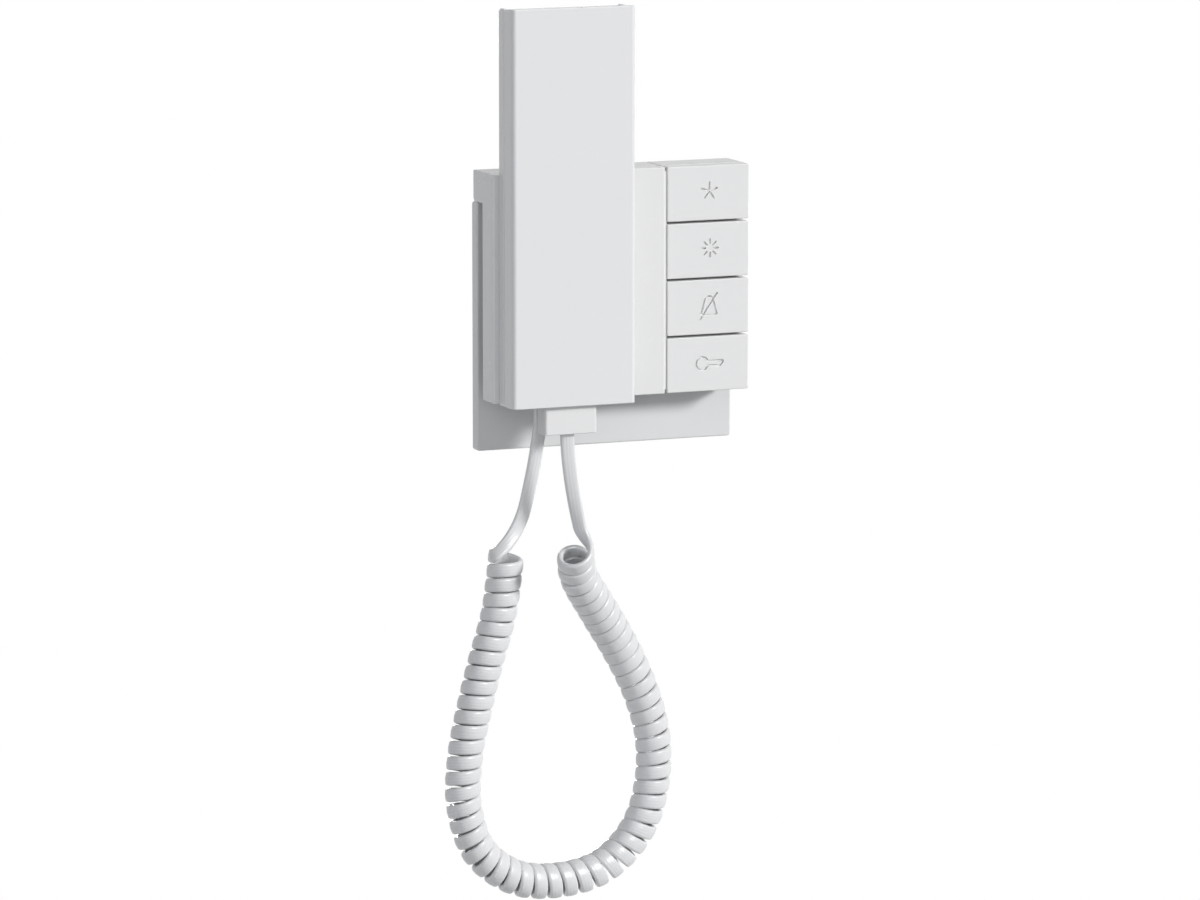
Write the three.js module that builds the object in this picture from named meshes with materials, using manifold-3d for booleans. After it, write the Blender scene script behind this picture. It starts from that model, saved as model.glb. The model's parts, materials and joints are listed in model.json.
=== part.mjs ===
// Slim wall handset station: a wall frame, a base with four push buttons, a hang-up handset and
// its curly cord. Millimetres. X runs to the right and Z up. "Out" is the distance from the wall
// into the room, which is -Y.
// The origin is the centre of the back of the wall bracket, on the wall.
import * as THREE from "three";
import { mergeVertices } from "three/addons/utils/BufferGeometryUtils.js";
import Module from "manifold-3d";

// ---- Fits ---------------------------------------------------------------------------------------
const GAP = 0.3; // between fixed pieces that touch
const SCREW_PLAY = 0.6; // added to a screw's shank for its hole
const CUT = 1; // how far a cutter runs past the face it opens

// ---- Wall frame and its fixing ------------------------------------------------------------------
const FRAME_WIDTH = 99;
const FRAME_HEIGHT = 90;
const FRAME_DEPTH = 4.5;
const FRAME_OPENING = 50;
const BRACKET_SIZE = 70;
const BRACKET_THICKNESS = 1.5;
const BOX_SCREW_SPACING = 60;
const FLANGE_MARGIN = 2; // how far the insert's flange laps over the frame
const FLANGE_THICKNESS = 1.6;
const NECK_WALL = 4.2;
const NECK_FLOOR = 1.4;
const FIXING_OFFSET = 20; // of the insert's and tray's screws from the middle, both ways
const WINDOW = { half: 12, low: -20, high: -6 }; // the way in for the door line

// ---- Base ---------------------------------------------------------------------------------------
const BASE_DEPTH = 20.5; // front face out from the wall
const BASE_DROP = 25.6; // underside below the middle of the frame
const HOOD_HEIGHT = 11.1; // of the hood above the frame's top edge
const HOOD_BACK = 1.5; // out from the wall
const SKIRT_BACK = 10.4; // back edge of the side walls, out from the wall
const SHELL_WALL = 1.8;
const TRAY_THICKNESS = 1.6;
const BOARD_THICKNESS = 1;
const LUG = { width: 8, depth: 4.4, lift: 2.1, height: 5.7 }; // takes the cover's screw

// ---- Buttons ------------------------------------------------------------------------------------
const BUTTON_COUNT = 4;
const BUTTON_WIDTH = 31.7;
const BUTTON_DEPTH = 4.7;
const BUTTON_GAP = 0.7; // between one cap and the next
const BUTTON_SIDE_GAP = 0.8; // between the caps and the cover beside them
const EDGE_STEP = { sink: 1, end: 1.6 }; // the strip in that gap, back from the cover's front and ends
const BUTTON_TRAVEL = 0.5;
const BUTTON_WALL = 1.4;
const BUTTON_REST_GAP = BUTTON_TRAVEL + 0.1; // behind the cap's rim
const HOUSING_PLATE = 1;
const SWITCH_SIZE = 6.2;
const SWITCH_HEIGHT = 3.2;
const SWITCH_PROUD = 1.9; // of the switches in front of the housing's plate
const STEM_DIAMETER = 3.4;
const STEM_REACH = 0.7; // of the stem out of its switch
const LEG = { offset: 11, thickness: 1.4, width: 5, lip: 1.2 };

// ---- Handset ------------------------------------------------------------------------------------
const HANDSET_WIDTH = 47.2;
const HANDSET_HEIGHT = 142.3;
const HANDSET_DEPTH = 13.5;
const HANDSET_INSET = 2.1; // its left side in from the base's
const HANDSET_OVERHANG = 0.5; // its bottom below the base's
const TOP_SLOPE = 1; // how far its top falls from the front to the back
const REAR_SHELL_DEPTH = 5.1;
const REAR_WALL = 1.6;
const FRONT_WALL = 1.8;
const LIP_WALL = 1;
const LIP_REACH = 1.5;
const HOOK_WIDTH = 14;
const HOOK_REACH = 3.3; // out of the base's front
const HOOK_THICKNESS = 3.6; // measured upright
const HOOK_PLAY = 0.3;
const EARPIECE_DIAMETER = 30;
const MICROPHONE_DIAMETER = 9.7;
const CORD_BLOCK = { width: 20, depth: 8, height: 10.2 };

// ---- Cord ---------------------------------------------------------------------------------------
const RIBBON_WIDTH = 5;
const RIBBON_THICKNESS = 2.4;
const COIL_DIAMETER = 13;

// ---- Places worked out from the sizes above -----------------------------------------------------
const LEFT = -FRAME_WIDTH / 2;
const RIGHT = FRAME_WIDTH / 2;
const FRAME_TOP = FRAME_HEIGHT / 2;
const HOOD_FLOOR = FRAME_TOP + GAP;
const BASE_TOP = HOOD_FLOOR + HOOD_HEIGHT;
const BASE_BOTTOM = -BASE_DROP;
const INNER_TOP = BASE_TOP - SHELL_WALL;
const INNER_BOTTOM = BASE_BOTTOM + SHELL_WALL;
const BUTTON_LEFT = RIGHT - BUTTON_WIDTH;
const BUTTON_MIDDLE = RIGHT - BUTTON_WIDTH / 2;
const BUTTON_HEIGHT = (BASE_TOP - BASE_BOTTOM - (BUTTON_COUNT - 1) * BUTTON_GAP) / BUTTON_COUNT;
const BUTTON_BACK = BASE_DEPTH - BUTTON_DEPTH;
const HOUSING_FRONT = BUTTON_BACK - BUTTON_REST_GAP;
const HOUSING_LEFT = BUTTON_LEFT - BUTTON_SIDE_GAP + GAP;
const COVER_RIGHT = BUTTON_LEFT - BUTTON_SIDE_GAP;
const TRAY_FRONT = SKIRT_BACK + TRAY_THICKNESS;
const PART_SEAT = HOUSING_FRONT + SWITCH_PROUD - SWITCH_HEIGHT; // where a part on the board starts
const BOARD_FRONT = PART_SEAT - GAP;
const BOARD_BACK = BOARD_FRONT - BOARD_THICKNESS;
const HEADROOM = BASE_DEPTH - SHELL_WALL - PART_SEAT; // for a part on the board
const FLANGE_BACK = FRAME_DEPTH + GAP;
const FLANGE_FRONT = FLANGE_BACK + FLANGE_THICKNESS;
const NECK_BACK = BRACKET_THICKNESS + GAP;
const NECK_SIZE = FRAME_OPENING - 2 * GAP;
const NECK_INNER = NECK_SIZE - 2 * NECK_WALL;
const FLANGE_SIZE = FRAME_OPENING + 2 * FLANGE_MARGIN;
const HANDSET_X = LEFT + HANDSET_INSET + HANDSET_WIDTH / 2;
const HANDSET_BACK = BASE_DEPTH + GAP;
const HANDSET_FRONT = HANDSET_BACK + HANDSET_DEPTH;
const HANDSET_BOTTOM = BASE_BOTTOM - HANDSET_OVERHANG;
const HANDSET_TOP = HANDSET_BOTTOM + HANDSET_HEIGHT;
const PARTING = HANDSET_BACK + REAR_SHELL_DEPTH;
const REAR_INSIDE = HANDSET_BACK + REAR_WALL;
const HANDSET_SEAT = REAR_INSIDE + GAP; // where a part on the rear shell starts
const CORD_EXIT = { x: HANDSET_X - 5.4, out: 14.8 }; // where the cord leaves the base
const SOUNDER = { x: HANDSET_X, z: 20, diameter: 20, height: 3.4 };
const STRIP_MIDDLE = COVER_RIGHT - 9; // of the cover's bare strip beside the handset
const COVER_SCREW = { x: STRIP_MIDDLE, out: TRAY_FRONT + LUG.depth / 2 };
const LUG_TOP = INNER_BOTTOM + LUG.lift + LUG.height;
const EARPIECE_Z = HANDSET_TOP - 19.2;
const UPPER_SCREW_Z = HANDSET_TOP - 39.2;
const HOOK_Z = BASE_TOP - 22.6;
const WEIGHT_SPAN = [HOOK_Z + 11.7, UPPER_SCREW_Z - 5.5];
const LOWER_SCREW_Z = HANDSET_BOTTOM + 47.1;
const SHELL_SCREW_PLACES = [UPPER_SCREW_Z, LOWER_SCREW_Z];
const MICROPHONE_Z = HANDSET_BOTTOM + 14.1;
const MAGNET_Z = HANDSET_BOTTOM + 33.1;

// ---- Solids -------------------------------------------------------------------------------------
const wasm = await Module();
wasm.setup();

/** Six times the volume inside a triangle mesh, negative when its faces point inwards. */
function signedVolume(points, triangles) {
  const [a, b, c] = [new THREE.Vector3(), new THREE.Vector3(), new THREE.Vector3()];
  let sum = 0;
  for (let i = 0; i < triangles.length; i += 3) {
    a.fromArray(points, triangles[i] * 3);
    b.fromArray(points, triangles[i + 1] * 3);
    c.fromArray(points, triangles[i + 2] * 3);
    sum += a.dot(b.cross(c));
  }
  return sum;
}

/** The solid inside a closed geometry, whichever way its faces point. */
function solidOf(geometry) {
  const bare = geometry.clone();
  bare.deleteAttribute("normal");
  bare.deleteAttribute("uv");
  const merged = mergeVertices(bare, 1e-4);
  const points = Float32Array.from(merged.attributes.position.array);
  const triangles = [];
  for (let i = 0; i < merged.index.count; i += 3) {
    const [a, b, c] = [merged.index.getX(i), merged.index.getX(i + 1), merged.index.getX(i + 2)];
    if (a !== b && b !== c && c !== a) {
      triangles.push(a, b, c);
    }
  }
  if (signedVolume(points, triangles) < 0) {
    triangles.reverse();
  }
  const mesh = new wasm.Mesh({ numProp: 3, vertProperties: points, triVerts: Uint32Array.from(triangles) });
  return new wasm.Manifold(mesh);
}

/** The three.js geometry of a solid. */
function geometryOf(solid) {
  const mesh = solid.getMesh();
  const geometry = new THREE.BufferGeometry();
  geometry.setAttribute("position", new THREE.BufferAttribute(mesh.vertProperties, mesh.numProp));
  geometry.setIndex(new THREE.BufferAttribute(mesh.triVerts, 1));
  geometry.computeVertexNormals();
  return geometry;
}

/** A box between two X, two "out" and two Z values. */
function block([x0, x1], [out0, out1], [z0, z1]) {
  const box = new THREE.BoxGeometry(x1 - x0, out1 - out0, z1 - z0);
  return solidOf(box.translate((x0 + x1) / 2, -(out0 + out1) / 2, (z0 + z1) / 2));
}

/** A box centred on X and Z. */
function centredBlock(x, z, width, height, outs) {
  return block([x - width / 2, x + width / 2], outs, [z - height / 2, z + height / 2]);
}

/** A cylinder whose axis runs out from the wall. */
function rod(x, z, diameter, [out0, out1], sides = 16) {
  const cylinder = new THREE.CylinderGeometry(diameter / 2, diameter / 2, out1 - out0, sides);
  return solidOf(cylinder.translate(x, -(out0 + out1) / 2, z));
}

/** A cylinder whose axis is upright. */
function post(x, out, diameter, [z0, z1], sides = 16) {
  const cylinder = new THREE.CylinderGeometry(diameter / 2, diameter / 2, z1 - z0, sides);
  return solidOf(cylinder.rotateX(Math.PI / 2).translate(x, -out, (z0 + z1) / 2));
}

/** A turned piece: its profile is [radius, height] pairs that start and end on the axis. */
function turned(profile, sides = 24) {
  const points = profile.map(([radius, height]) => new THREE.Vector2(radius, height));
  return new THREE.LatheGeometry(points, sides);
}

/** The first solid joined to the others. */
function join(first, ...others) {
  return others.reduce((whole, part) => whole.add(part), first);
}

/** The first solid with the others cut out of it. */
function cut(first, ...others) {
  return others.reduce((whole, part) => whole.subtract(part), first);
}

// ---- Materials ----------------------------------------------------------------------------------
const FINISHES = {
  whiteGloss: { color: 0xe9eaec, roughness: 0.32, metalness: 0 },
  whiteSatin: { color: 0xe4e5e7, roughness: 0.45, metalness: 0 },
  greyPlastic: { color: 0x9a9da1, roughness: 0.55, metalness: 0 },
  blackPlastic: { color: 0x202124, roughness: 0.5, metalness: 0 },
  steel: { color: 0xb4b7ba, roughness: 0.38, metalness: 1 },
  board: { color: 0x1d5a3a, roughness: 0.5, metalness: 0 },
  rubber: { color: 0x2b2b2d, roughness: 0.85, metalness: 0 },
  foam: { color: 0x55575a, roughness: 0.95, metalness: 0 },
  glass: { color: 0xc9d6d2, roughness: 0.08, metalness: 0 },
  cord: { color: 0xe6e7e9, roughness: 0.5, metalness: 0 },
};

/** A named mesh in one of the finishes, from a solid or a three.js geometry. */
function piece(name, shape, finish) {
  const geometry = shape.isBufferGeometry ? shape : geometryOf(shape);
  const mesh = new THREE.Mesh(geometry, new THREE.MeshStandardMaterial(FINISHES[finish]));
  mesh.name = name;
  return mesh;
}

// ---- Screws -------------------------------------------------------------------------------------
const MACHINE_SCREW = { shank: 2.6, head: 5.4, headHeight: 1.7 };
const TRAY_SCREW = { shank: 2.2, head: 4.6, headHeight: 1.6 };
const SMALL_SCREW = { shank: 2.2, head: 4.4, headHeight: 1.1 };
const SHELL_SCREW = { shank: 2.4, head: 4.6, headHeight: 1.4 };

/** A pan-head screw of one length, its head's underside at the origin and its shank down +Y. */
function screwGeometry({ shank, head, headHeight }, length) {
  const screw = join(
    rod(0, 0, head, [0, headHeight]),
    rod(0, 0, shank, [-length, 0.2]),
  );
  const slot = headHeight / 2;
  return geometryOf(cut(screw, centredBlock(0, 0, head * 0.6, 0.7, [slot, headHeight + CUT])));
}

/** A screw that is driven towards the wall, with its head's underside at one distance out. */
function screw(name, size, x, out, z, length) {
  const mesh = piece(name, screwGeometry(size, length), "steel");
  mesh.position.set(x, -out, z);
  return mesh;
}

/** The hole for a screw's shank. */
function screwHole(size, x, z, outs) {
  return rod(x, z, size.shank + SCREW_PLAY, outs);
}

// ---- Wall fixing --------------------------------------------------------------------------------
const INSERT_SCREW_PLACES = [[FIXING_OFFSET, FIXING_OFFSET], [-FIXING_OFFSET, -FIXING_OFFSET]];
const TRAY_SCREW_PLACES = [[-FIXING_OFFSET, FIXING_OFFSET], [FIXING_OFFSET, -FIXING_OFFSET]];
const INSERT_SCREW_SEAT = NECK_BACK + 1.8;
const TRAY_BOSS_BACK = FLANGE_FRONT + GAP;
const TRAY_SCREW_SEAT = TRAY_BOSS_BACK + 2.3;

/** The opening for the door line, through whatever lies between two distances out. */
function lineWindow(outs) {
  return block([-WINDOW.half, WINDOW.half], outs, [WINDOW.low, WINDOW.high]);
}

function wallBracket() {
  const through = [-CUT, BRACKET_THICKNESS + CUT];
  const slots = [-1, 1].map((side) => centredBlock((side * BOX_SCREW_SPACING) / 2, 0, 4, 9, through));
  const tapped = INSERT_SCREW_PLACES.map(([x, z]) => screwHole(MACHINE_SCREW, x, z, through));
  const plate = centredBlock(0, 0, BRACKET_SIZE, BRACKET_SIZE, [0, BRACKET_THICKNESS]);
  return piece("wall_bracket", cut(plate, lineWindow(through), ...slots, ...tapped), "steel");
}

function wallFrame() {
  const rebate = BRACKET_SIZE + 2 * GAP;
  const plate = centredBlock(0, 0, FRAME_WIDTH, FRAME_HEIGHT, [0, FRAME_DEPTH]);
  return piece("wall_frame", cut(
    plate,
    centredBlock(0, 0, rebate, rebate, [-CUT, BRACKET_THICKNESS + GAP]),
    centredBlock(0, 0, FRAME_OPENING, FRAME_OPENING, [-CUT, FRAME_DEPTH + CUT]),
  ), "whiteGloss");
}

function mountingInsert() {
  const hollow = [NECK_BACK + NECK_FLOOR, FLANGE_FRONT + CUT];
  const corner = NECK_INNER - 2 * 5.5;
  const solid = join(
    centredBlock(0, 0, NECK_SIZE, NECK_SIZE, [NECK_BACK, FLANGE_BACK]),
    centredBlock(0, 0, FLANGE_SIZE, FLANGE_SIZE, [FLANGE_BACK, FLANGE_FRONT]),
  );
  const bore = [NECK_BACK + 1.2, FLANGE_FRONT + CUT];
  const trayHoles = TRAY_SCREW_PLACES.map(([x, z]) => screwHole(TRAY_SCREW, x, z, bore));
  const insertHoles = INSERT_SCREW_PLACES.flatMap(([x, z]) => [
    screwHole(MACHINE_SCREW, x, z, [0, FLANGE_FRONT]),
    rod(x, z, MACHINE_SCREW.head + SCREW_PLAY, [INSERT_SCREW_SEAT, FLANGE_FRONT + CUT]),
  ]);
  return piece("mounting_insert", cut(
    solid,
    centredBlock(0, 0, NECK_INNER, corner, hollow),
    centredBlock(0, 0, corner, NECK_INNER, hollow),
    lineWindow([0, FLANGE_FRONT]),
    ...trayHoles,
    ...insertHoles,
  ), "greyPlastic");
}

function wallFixing() {
  const group = new THREE.Group();
  group.add(wallBracket(), wallFrame(), mountingInsert());
  INSERT_SCREW_PLACES.forEach(([x, z], i) => {
    const seat = INSERT_SCREW_SEAT + GAP;
    group.add(screw(`insert_screw_${i + 1}`, MACHINE_SCREW, x, seat, z, seat - 0.4));
  });
  return group;
}

// ---- Base: tray, board and what they carry ------------------------------------------------------
const BOARD = {
  left: LEFT + 4.5,
  right: BUTTON_MIDDLE + LEG.offset - 0.5,
  bottom: BASE_BOTTOM + 4.6,
  top: FRAME_TOP - 1,
};
const BOARD_SCREW_PLACES = [
  [BOARD.left + 5, BOARD.top - 6],
  [BOARD.left + 5, BOARD.bottom + 3.5],
  [COVER_RIGHT - 5, BOARD.top - 6],
];
const BOSS_DIAMETER = 6;

/** The heights of the buttons' centres, from the top one down. */
const BUTTON_HEIGHTS = Array.from({ length: BUTTON_COUNT }, (_, i) => (
  BASE_TOP - BUTTON_HEIGHT / 2 - i * (BUTTON_HEIGHT + BUTTON_GAP)
));

function baseTray() {
  const sides = [LEFT + SHELL_WALL + GAP, RIGHT - SHELL_WALL - GAP];
  const shelf = HOOD_FLOOR + SHELL_WALL + GAP;
  const ring = [TRAY_BOSS_BACK, SKIRT_BACK];
  const boardBosses = BOARD_SCREW_PLACES.map(([x, z]) => (
    rod(x, z, BOSS_DIAMETER, [SKIRT_BACK - 2, BOARD_BACK - GAP])
  ));
  const solid = join(
    block(sides, [SKIRT_BACK, TRAY_FRONT], [INNER_BOTTOM + GAP, shelf + TRAY_THICKNESS]),
    block(sides, [HOOD_BACK, TRAY_FRONT], [shelf, shelf + TRAY_THICKNESS]),
    block(sides, [HOOD_BACK, HOOD_BACK + TRAY_THICKNESS], [shelf, INNER_TOP - GAP]),
    cut(
      centredBlock(0, 0, FLANGE_SIZE, FLANGE_SIZE, ring),
      centredBlock(0, 0, FRAME_OPENING, FRAME_OPENING, [0, TRAY_FRONT + CUT]),
    ),
    ...TRAY_SCREW_PLACES.map(([x, z]) => centredBlock(x, z, 12, 12, ring)),
    ...boardBosses,
    block(
      [COVER_SCREW.x - LUG.width / 2, COVER_SCREW.x + LUG.width / 2],
      [SKIRT_BACK, TRAY_FRONT + LUG.depth],
      [INNER_BOTTOM + LUG.lift, LUG_TOP],
    ),
  );
  return piece("base_tray", cut(
    solid,
    lineWindow([SKIRT_BACK - CUT, TRAY_FRONT + CUT]),
    ...TRAY_SCREW_PLACES.flatMap(([x, z]) => [
      screwHole(TRAY_SCREW, x, z, [0, TRAY_FRONT + CUT]),
      rod(x, z, TRAY_SCREW.head + SCREW_PLAY, [TRAY_SCREW_SEAT, TRAY_FRONT + CUT]),
    ]),
    ...BOARD_SCREW_PLACES.map(([x, z]) => screwHole(SMALL_SCREW, x, z, [SKIRT_BACK - 1.5, BOARD_FRONT])),
    post(COVER_SCREW.x, COVER_SCREW.out, SMALL_SCREW.shank + SCREW_PLAY, [BASE_BOTTOM, LUG_TOP - 1]),
  ), "greyPlastic");
}

function mainBoard() {
  const through = [BOARD_BACK - CUT, BOARD_FRONT + CUT];
  const legRoom = LEG.offset + LEG.thickness / 2 + 0.2;
  return piece("main_board", cut(
    block([BOARD.left, BOARD.right], [BOARD_BACK, BOARD_FRONT], [BOARD.bottom, BOARD.top]),
    centredBlock(CORD_EXIT.x, BOARD.bottom, 14, 5, through),
    block(
      [COVER_SCREW.x - LUG.width / 2 - 1, COVER_SCREW.x + LUG.width / 2 + 1],
      through,
      [BOARD.bottom - CUT, LUG_TOP + GAP],
    ),
    ...BOARD_SCREW_PLACES.map(([x, z]) => screwHole(SMALL_SCREW, x, z, through)),
    ...BUTTON_HEIGHTS.map((z) => centredBlock(BUTTON_MIDDLE - legRoom, z, 4, LEG.width + 1.4, through)),
  ), "board");
}

function sounder() {
  const radius = SOUNDER.diameter / 2;
  const profile = [[0, 0], [radius, 0], [radius, SOUNDER.height - 0.6], [radius - 0.6, SOUNDER.height],
    [1.5, SOUNDER.height], [1.5, 1.2], [0, 1.2]];
  const mesh = piece("sounder", solidShape(turned(profile)), "blackPlastic");
  mesh.rotation.x = Math.PI;
  mesh.position.set(SOUNDER.x, -PART_SEAT, SOUNDER.z);
  return mesh;
}

/** A geometry closed and cleaned by way of its solid. */
function solidShape(geometry) {
  return geometryOf(solidOf(geometry));
}

function terminalBlock() {
  const [low, high] = [2, 12];
  const outs = [NECK_BACK + NECK_FLOOR + 0.4, SKIRT_BACK - GAP];
  const ways = [-9, -3, 3, 9];
  return piece("terminal_block", cut(
    block([-WINDOW.half, WINDOW.half], outs, [low, high]),
    ...ways.map((x) => centredBlock(x, low, 3, 8, [outs[0] + 2, outs[0] + 5])),
    ...ways.map((x) => rod(x, low + 7, 3, [outs[0] - CUT, outs[0] + 1.5], 12)),
  ), "whiteSatin");
}

function cordConnector() {
  const width = 9.6;
  const z = BOARD.bottom + 9;
  return piece("cord_connector", cut(
    centredBlock(CORD_EXIT.x, z, width, 6, [PART_SEAT, PART_SEAT + 4]),
    centredBlock(CORD_EXIT.x, z - 1, width - 1.6, 6, [PART_SEAT + 1, PART_SEAT + 3]),
  ), "whiteSatin");
}

function reedSwitch() {
  const length = 14;
  const tube = new THREE.CylinderGeometry(1.2, 1.2, length, 12).rotateZ(Math.PI / 2);
  const leads = new THREE.CylinderGeometry(0.35, 0.35, length + 5, 8).rotateZ(Math.PI / 2);
  const mesh = piece("reed_switch", join(solidOf(tube), solidOf(leads)), "glass");
  mesh.position.set(HANDSET_X, -PART_SEAT - 1.2, MAGNET_Z);
  return mesh;
}

function boardParts() {
  const canTop = HEADROOM - 0.2;
  const can = turned([[0, 0], [3.2, 0], [3.2, canTop - 0.4], [2.7, canTop], [0, canTop]], 20);
  const top = HEADROOM - 0.5;
  const waist = [[3.6, 1.4], [3.6, top - 1.4]];
  const choke = turned([[0, 0], [5, 0], [5, 1], ...waist, [5, top - 1], [5, top], [0, top]]);
  const capacitor = piece("line_capacitor", solidShape(can), "steel");
  const coil = piece("line_choke", solidShape(choke), "blackPlastic");
  [[capacitor, -6], [coil, 8]].forEach(([mesh, z]) => {
    mesh.rotation.x = Math.PI;
    mesh.position.set(STRIP_MIDDLE, -PART_SEAT, z);
  });
  const chip = centredBlock(STRIP_MIDDLE, 28, 9, 9, [PART_SEAT, PART_SEAT + 1.4]);
  return [capacitor, coil, piece("control_chip", chip, "blackPlastic")];
}

function cordGrommet() {
  const neck = [RIBBON_WIDTH + 4, RIBBON_THICKNESS + 2];
  const collar = [neck[0] + 2, neck[1] + 0.6];
  const wall = [BASE_BOTTOM - GAP, INNER_BOTTOM + GAP];
  const level = ([width, depth], z) => block(
    [CORD_EXIT.x - width / 2, CORD_EXIT.x + width / 2],
    [CORD_EXIT.out - depth / 2, CORD_EXIT.out + depth / 2],
    z,
  );
  return piece("base_cord_grommet", join(
    level(collar, [wall[0] - 1, wall[0]]),
    level(neck, wall),
    level(collar, [wall[1], wall[1] + 1.2]),
  ), "cord");
}

function baseInside() {
  const group = new THREE.Group();
  group.add(baseTray(), mainBoard(), sounder(), terminalBlock(), cordConnector(), reedSwitch());
  group.add(...boardParts());
  group.add(cordGrommet());
  TRAY_SCREW_PLACES.forEach(([x, z], i) => {
    const seat = TRAY_SCREW_SEAT + GAP;
    group.add(screw(`tray_screw_${i + 1}`, TRAY_SCREW, x, seat, z, seat - NECK_BACK - 1.6));
  });
  BOARD_SCREW_PLACES.forEach(([x, z], i) => {
    group.add(screw(`board_screw_${i + 1}`, SMALL_SCREW, x, PART_SEAT, z, PART_SEAT - SKIRT_BACK + 1.2));
  });
  const { x, out } = COVER_SCREW;
  const coverScrew = screw("cover_screw", SMALL_SCREW, x, out, BASE_BOTTOM + 1.4, 6.9);
  coverScrew.rotation.x = Math.PI / 2;
  group.add(coverScrew);
  return group;
}

// ---- Base: cover, button housing and buttons ----------------------------------------------------
/** The bar of a hook that rises outwards at 45 degrees, grown all round by some play. */
function hookBar(reach, play) {
  const [back, tip] = [BASE_DEPTH - 0.5 - (play ? CUT : 0), BASE_DEPTH + reach];
  const bottom = HOOK_Z - HOOK_THICKNESS / 2 - play * Math.SQRT2;
  const top = HOOK_Z + HOOK_THICKNESS / 2 + play * Math.SQRT2;
  const rise = (out) => out - BASE_DEPTH;
  const outline = new THREE.Shape([
    new THREE.Vector2(back, bottom + rise(back)),
    new THREE.Vector2(tip, bottom + rise(tip)),
    new THREE.Vector2(tip, top + rise(tip)),
    new THREE.Vector2(back, top + rise(back)),
  ]);
  const half = HOOK_WIDTH / 2 + play;
  return sideways(outline, [HANDSET_X - half, HANDSET_X + half]);
}

/** An outline drawn from the side, as distances out and heights, carried across between two places. */
function sideways(outline, [left, right]) {
  const bar = new THREE.ExtrudeGeometry(outline, { depth: right - left, bevelEnabled: false });
  const upright = new THREE.Matrix4().makeBasis(
    new THREE.Vector3(0, -1, 0),
    new THREE.Vector3(0, 0, 1),
    new THREE.Vector3(-1, 0, 0),
  );
  return solidOf(bar.applyMatrix4(upright).translate(right, 0, 0));
}

/** A cover's outer walls: a skirt round the tray with a hood that reaches back over the frame. */
function hoodedShell([left, right], front, plate, [innerLeft, innerRight]) {
  return cut(
    join(
      block([left, right], [SKIRT_BACK, front], [BASE_BOTTOM, BASE_TOP]),
      block([left, right], [HOOD_BACK, SKIRT_BACK + CUT], [HOOD_FLOOR, BASE_TOP]),
    ),
    block([innerLeft, innerRight], [SKIRT_BACK - GAP, front - plate], [INNER_BOTTOM, INNER_TOP]),
    block([innerLeft, innerRight], [HOOD_BACK - CUT, SKIRT_BACK], [HOOD_FLOOR + SHELL_WALL, INNER_TOP]),
  );
}

/** The way between the cover and the button housing, for the tray, the board and the hood's room. */
function sidePassage(across) {
  return join(
    block(across, [SKIRT_BACK - GAP, PART_SEAT], [INNER_BOTTOM, INNER_TOP]),
    block(across, [-CUT, SKIRT_BACK], [HOOD_FLOOR + SHELL_WALL, INNER_TOP]),
  );
}

function baseCover() {
  const inside = [LEFT + SHELL_WALL, COVER_RIGHT - SHELL_WALL];
  const { x, out } = COVER_SCREW;
  const screwPad = block(
    [x - LUG.width / 2, x + LUG.width / 2],
    [TRAY_FRONT + GAP, TRAY_FRONT + LUG.depth],
    [BASE_BOTTOM, INNER_BOTTOM + 1.8],
  );
  const soundSlots = [-2, -1, 0, 1, 2].map((i) => (
    centredBlock(SOUNDER.x, SOUNDER.z + i * 3, 12, 1.2, [BASE_DEPTH - SHELL_WALL - CUT, BASE_DEPTH + CUT])
  ));
  const grommetHole = block(
    [CORD_EXIT.x - RIBBON_WIDTH / 2 - 2 - GAP, CORD_EXIT.x + RIBBON_WIDTH / 2 + 2 + GAP],
    [CORD_EXIT.out - RIBBON_THICKNESS / 2 - 1 - GAP, CORD_EXIT.out + RIBBON_THICKNESS / 2 + 1 + GAP],
    [BASE_BOTTOM - CUT, INNER_BOTTOM + CUT],
  );
  const shell = hoodedShell([LEFT, COVER_RIGHT], BASE_DEPTH, SHELL_WALL, inside);
  const passage = sidePassage([inside[1] - CUT, COVER_RIGHT + CUT]);
  const edgeStep = block(
    [COVER_RIGHT - 1, COVER_RIGHT + BUTTON_SIDE_GAP - GAP],
    [HOUSING_FRONT + GAP, BASE_DEPTH - EDGE_STEP.sink],
    [BASE_BOTTOM + EDGE_STEP.end, BASE_TOP - EDGE_STEP.end],
  );
  return piece("base_cover", cut(
    join(cut(shell, passage), screwPad, hookBar(HOOK_REACH, 0), edgeStep),
    grommetHole,
    post(x, out, SMALL_SCREW.shank + SCREW_PLAY, [BASE_BOTTOM - CUT, INNER_BOTTOM + 3]),
    post(x, out, SMALL_SCREW.head + SCREW_PLAY, [BASE_BOTTOM - CUT, BASE_BOTTOM + 1.7]),
    ...soundSlots,
  ), "whiteGloss");
}

function buttonHousing() {
  const inside = [HOUSING_LEFT + 1.5, RIGHT - SHELL_WALL];
  const plate = [HOUSING_FRONT - HOUSING_PLATE - CUT, HOUSING_FRONT + CUT];
  const window = SWITCH_SIZE + 4 * GAP;
  const legMiddle = LEG.offset + LEG.thickness / 2;
  const passage = sidePassage([HOUSING_LEFT - CUT, inside[0] + CUT]);
  const openings = BUTTON_HEIGHTS.flatMap((z) => [
    centredBlock(BUTTON_MIDDLE, z, window, window, plate),
    ...[-1, 1].map((side) => centredBlock(
      BUTTON_MIDDLE + side * legMiddle, z, LEG.thickness + 2 * GAP, LEG.width + 2 * GAP, plate,
    )),
  ]);
  const shell = hoodedShell([HOUSING_LEFT, RIGHT], HOUSING_FRONT, HOUSING_PLATE, inside);
  return piece("button_housing", cut(shell, passage, ...openings), "whiteGloss");
}

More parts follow.
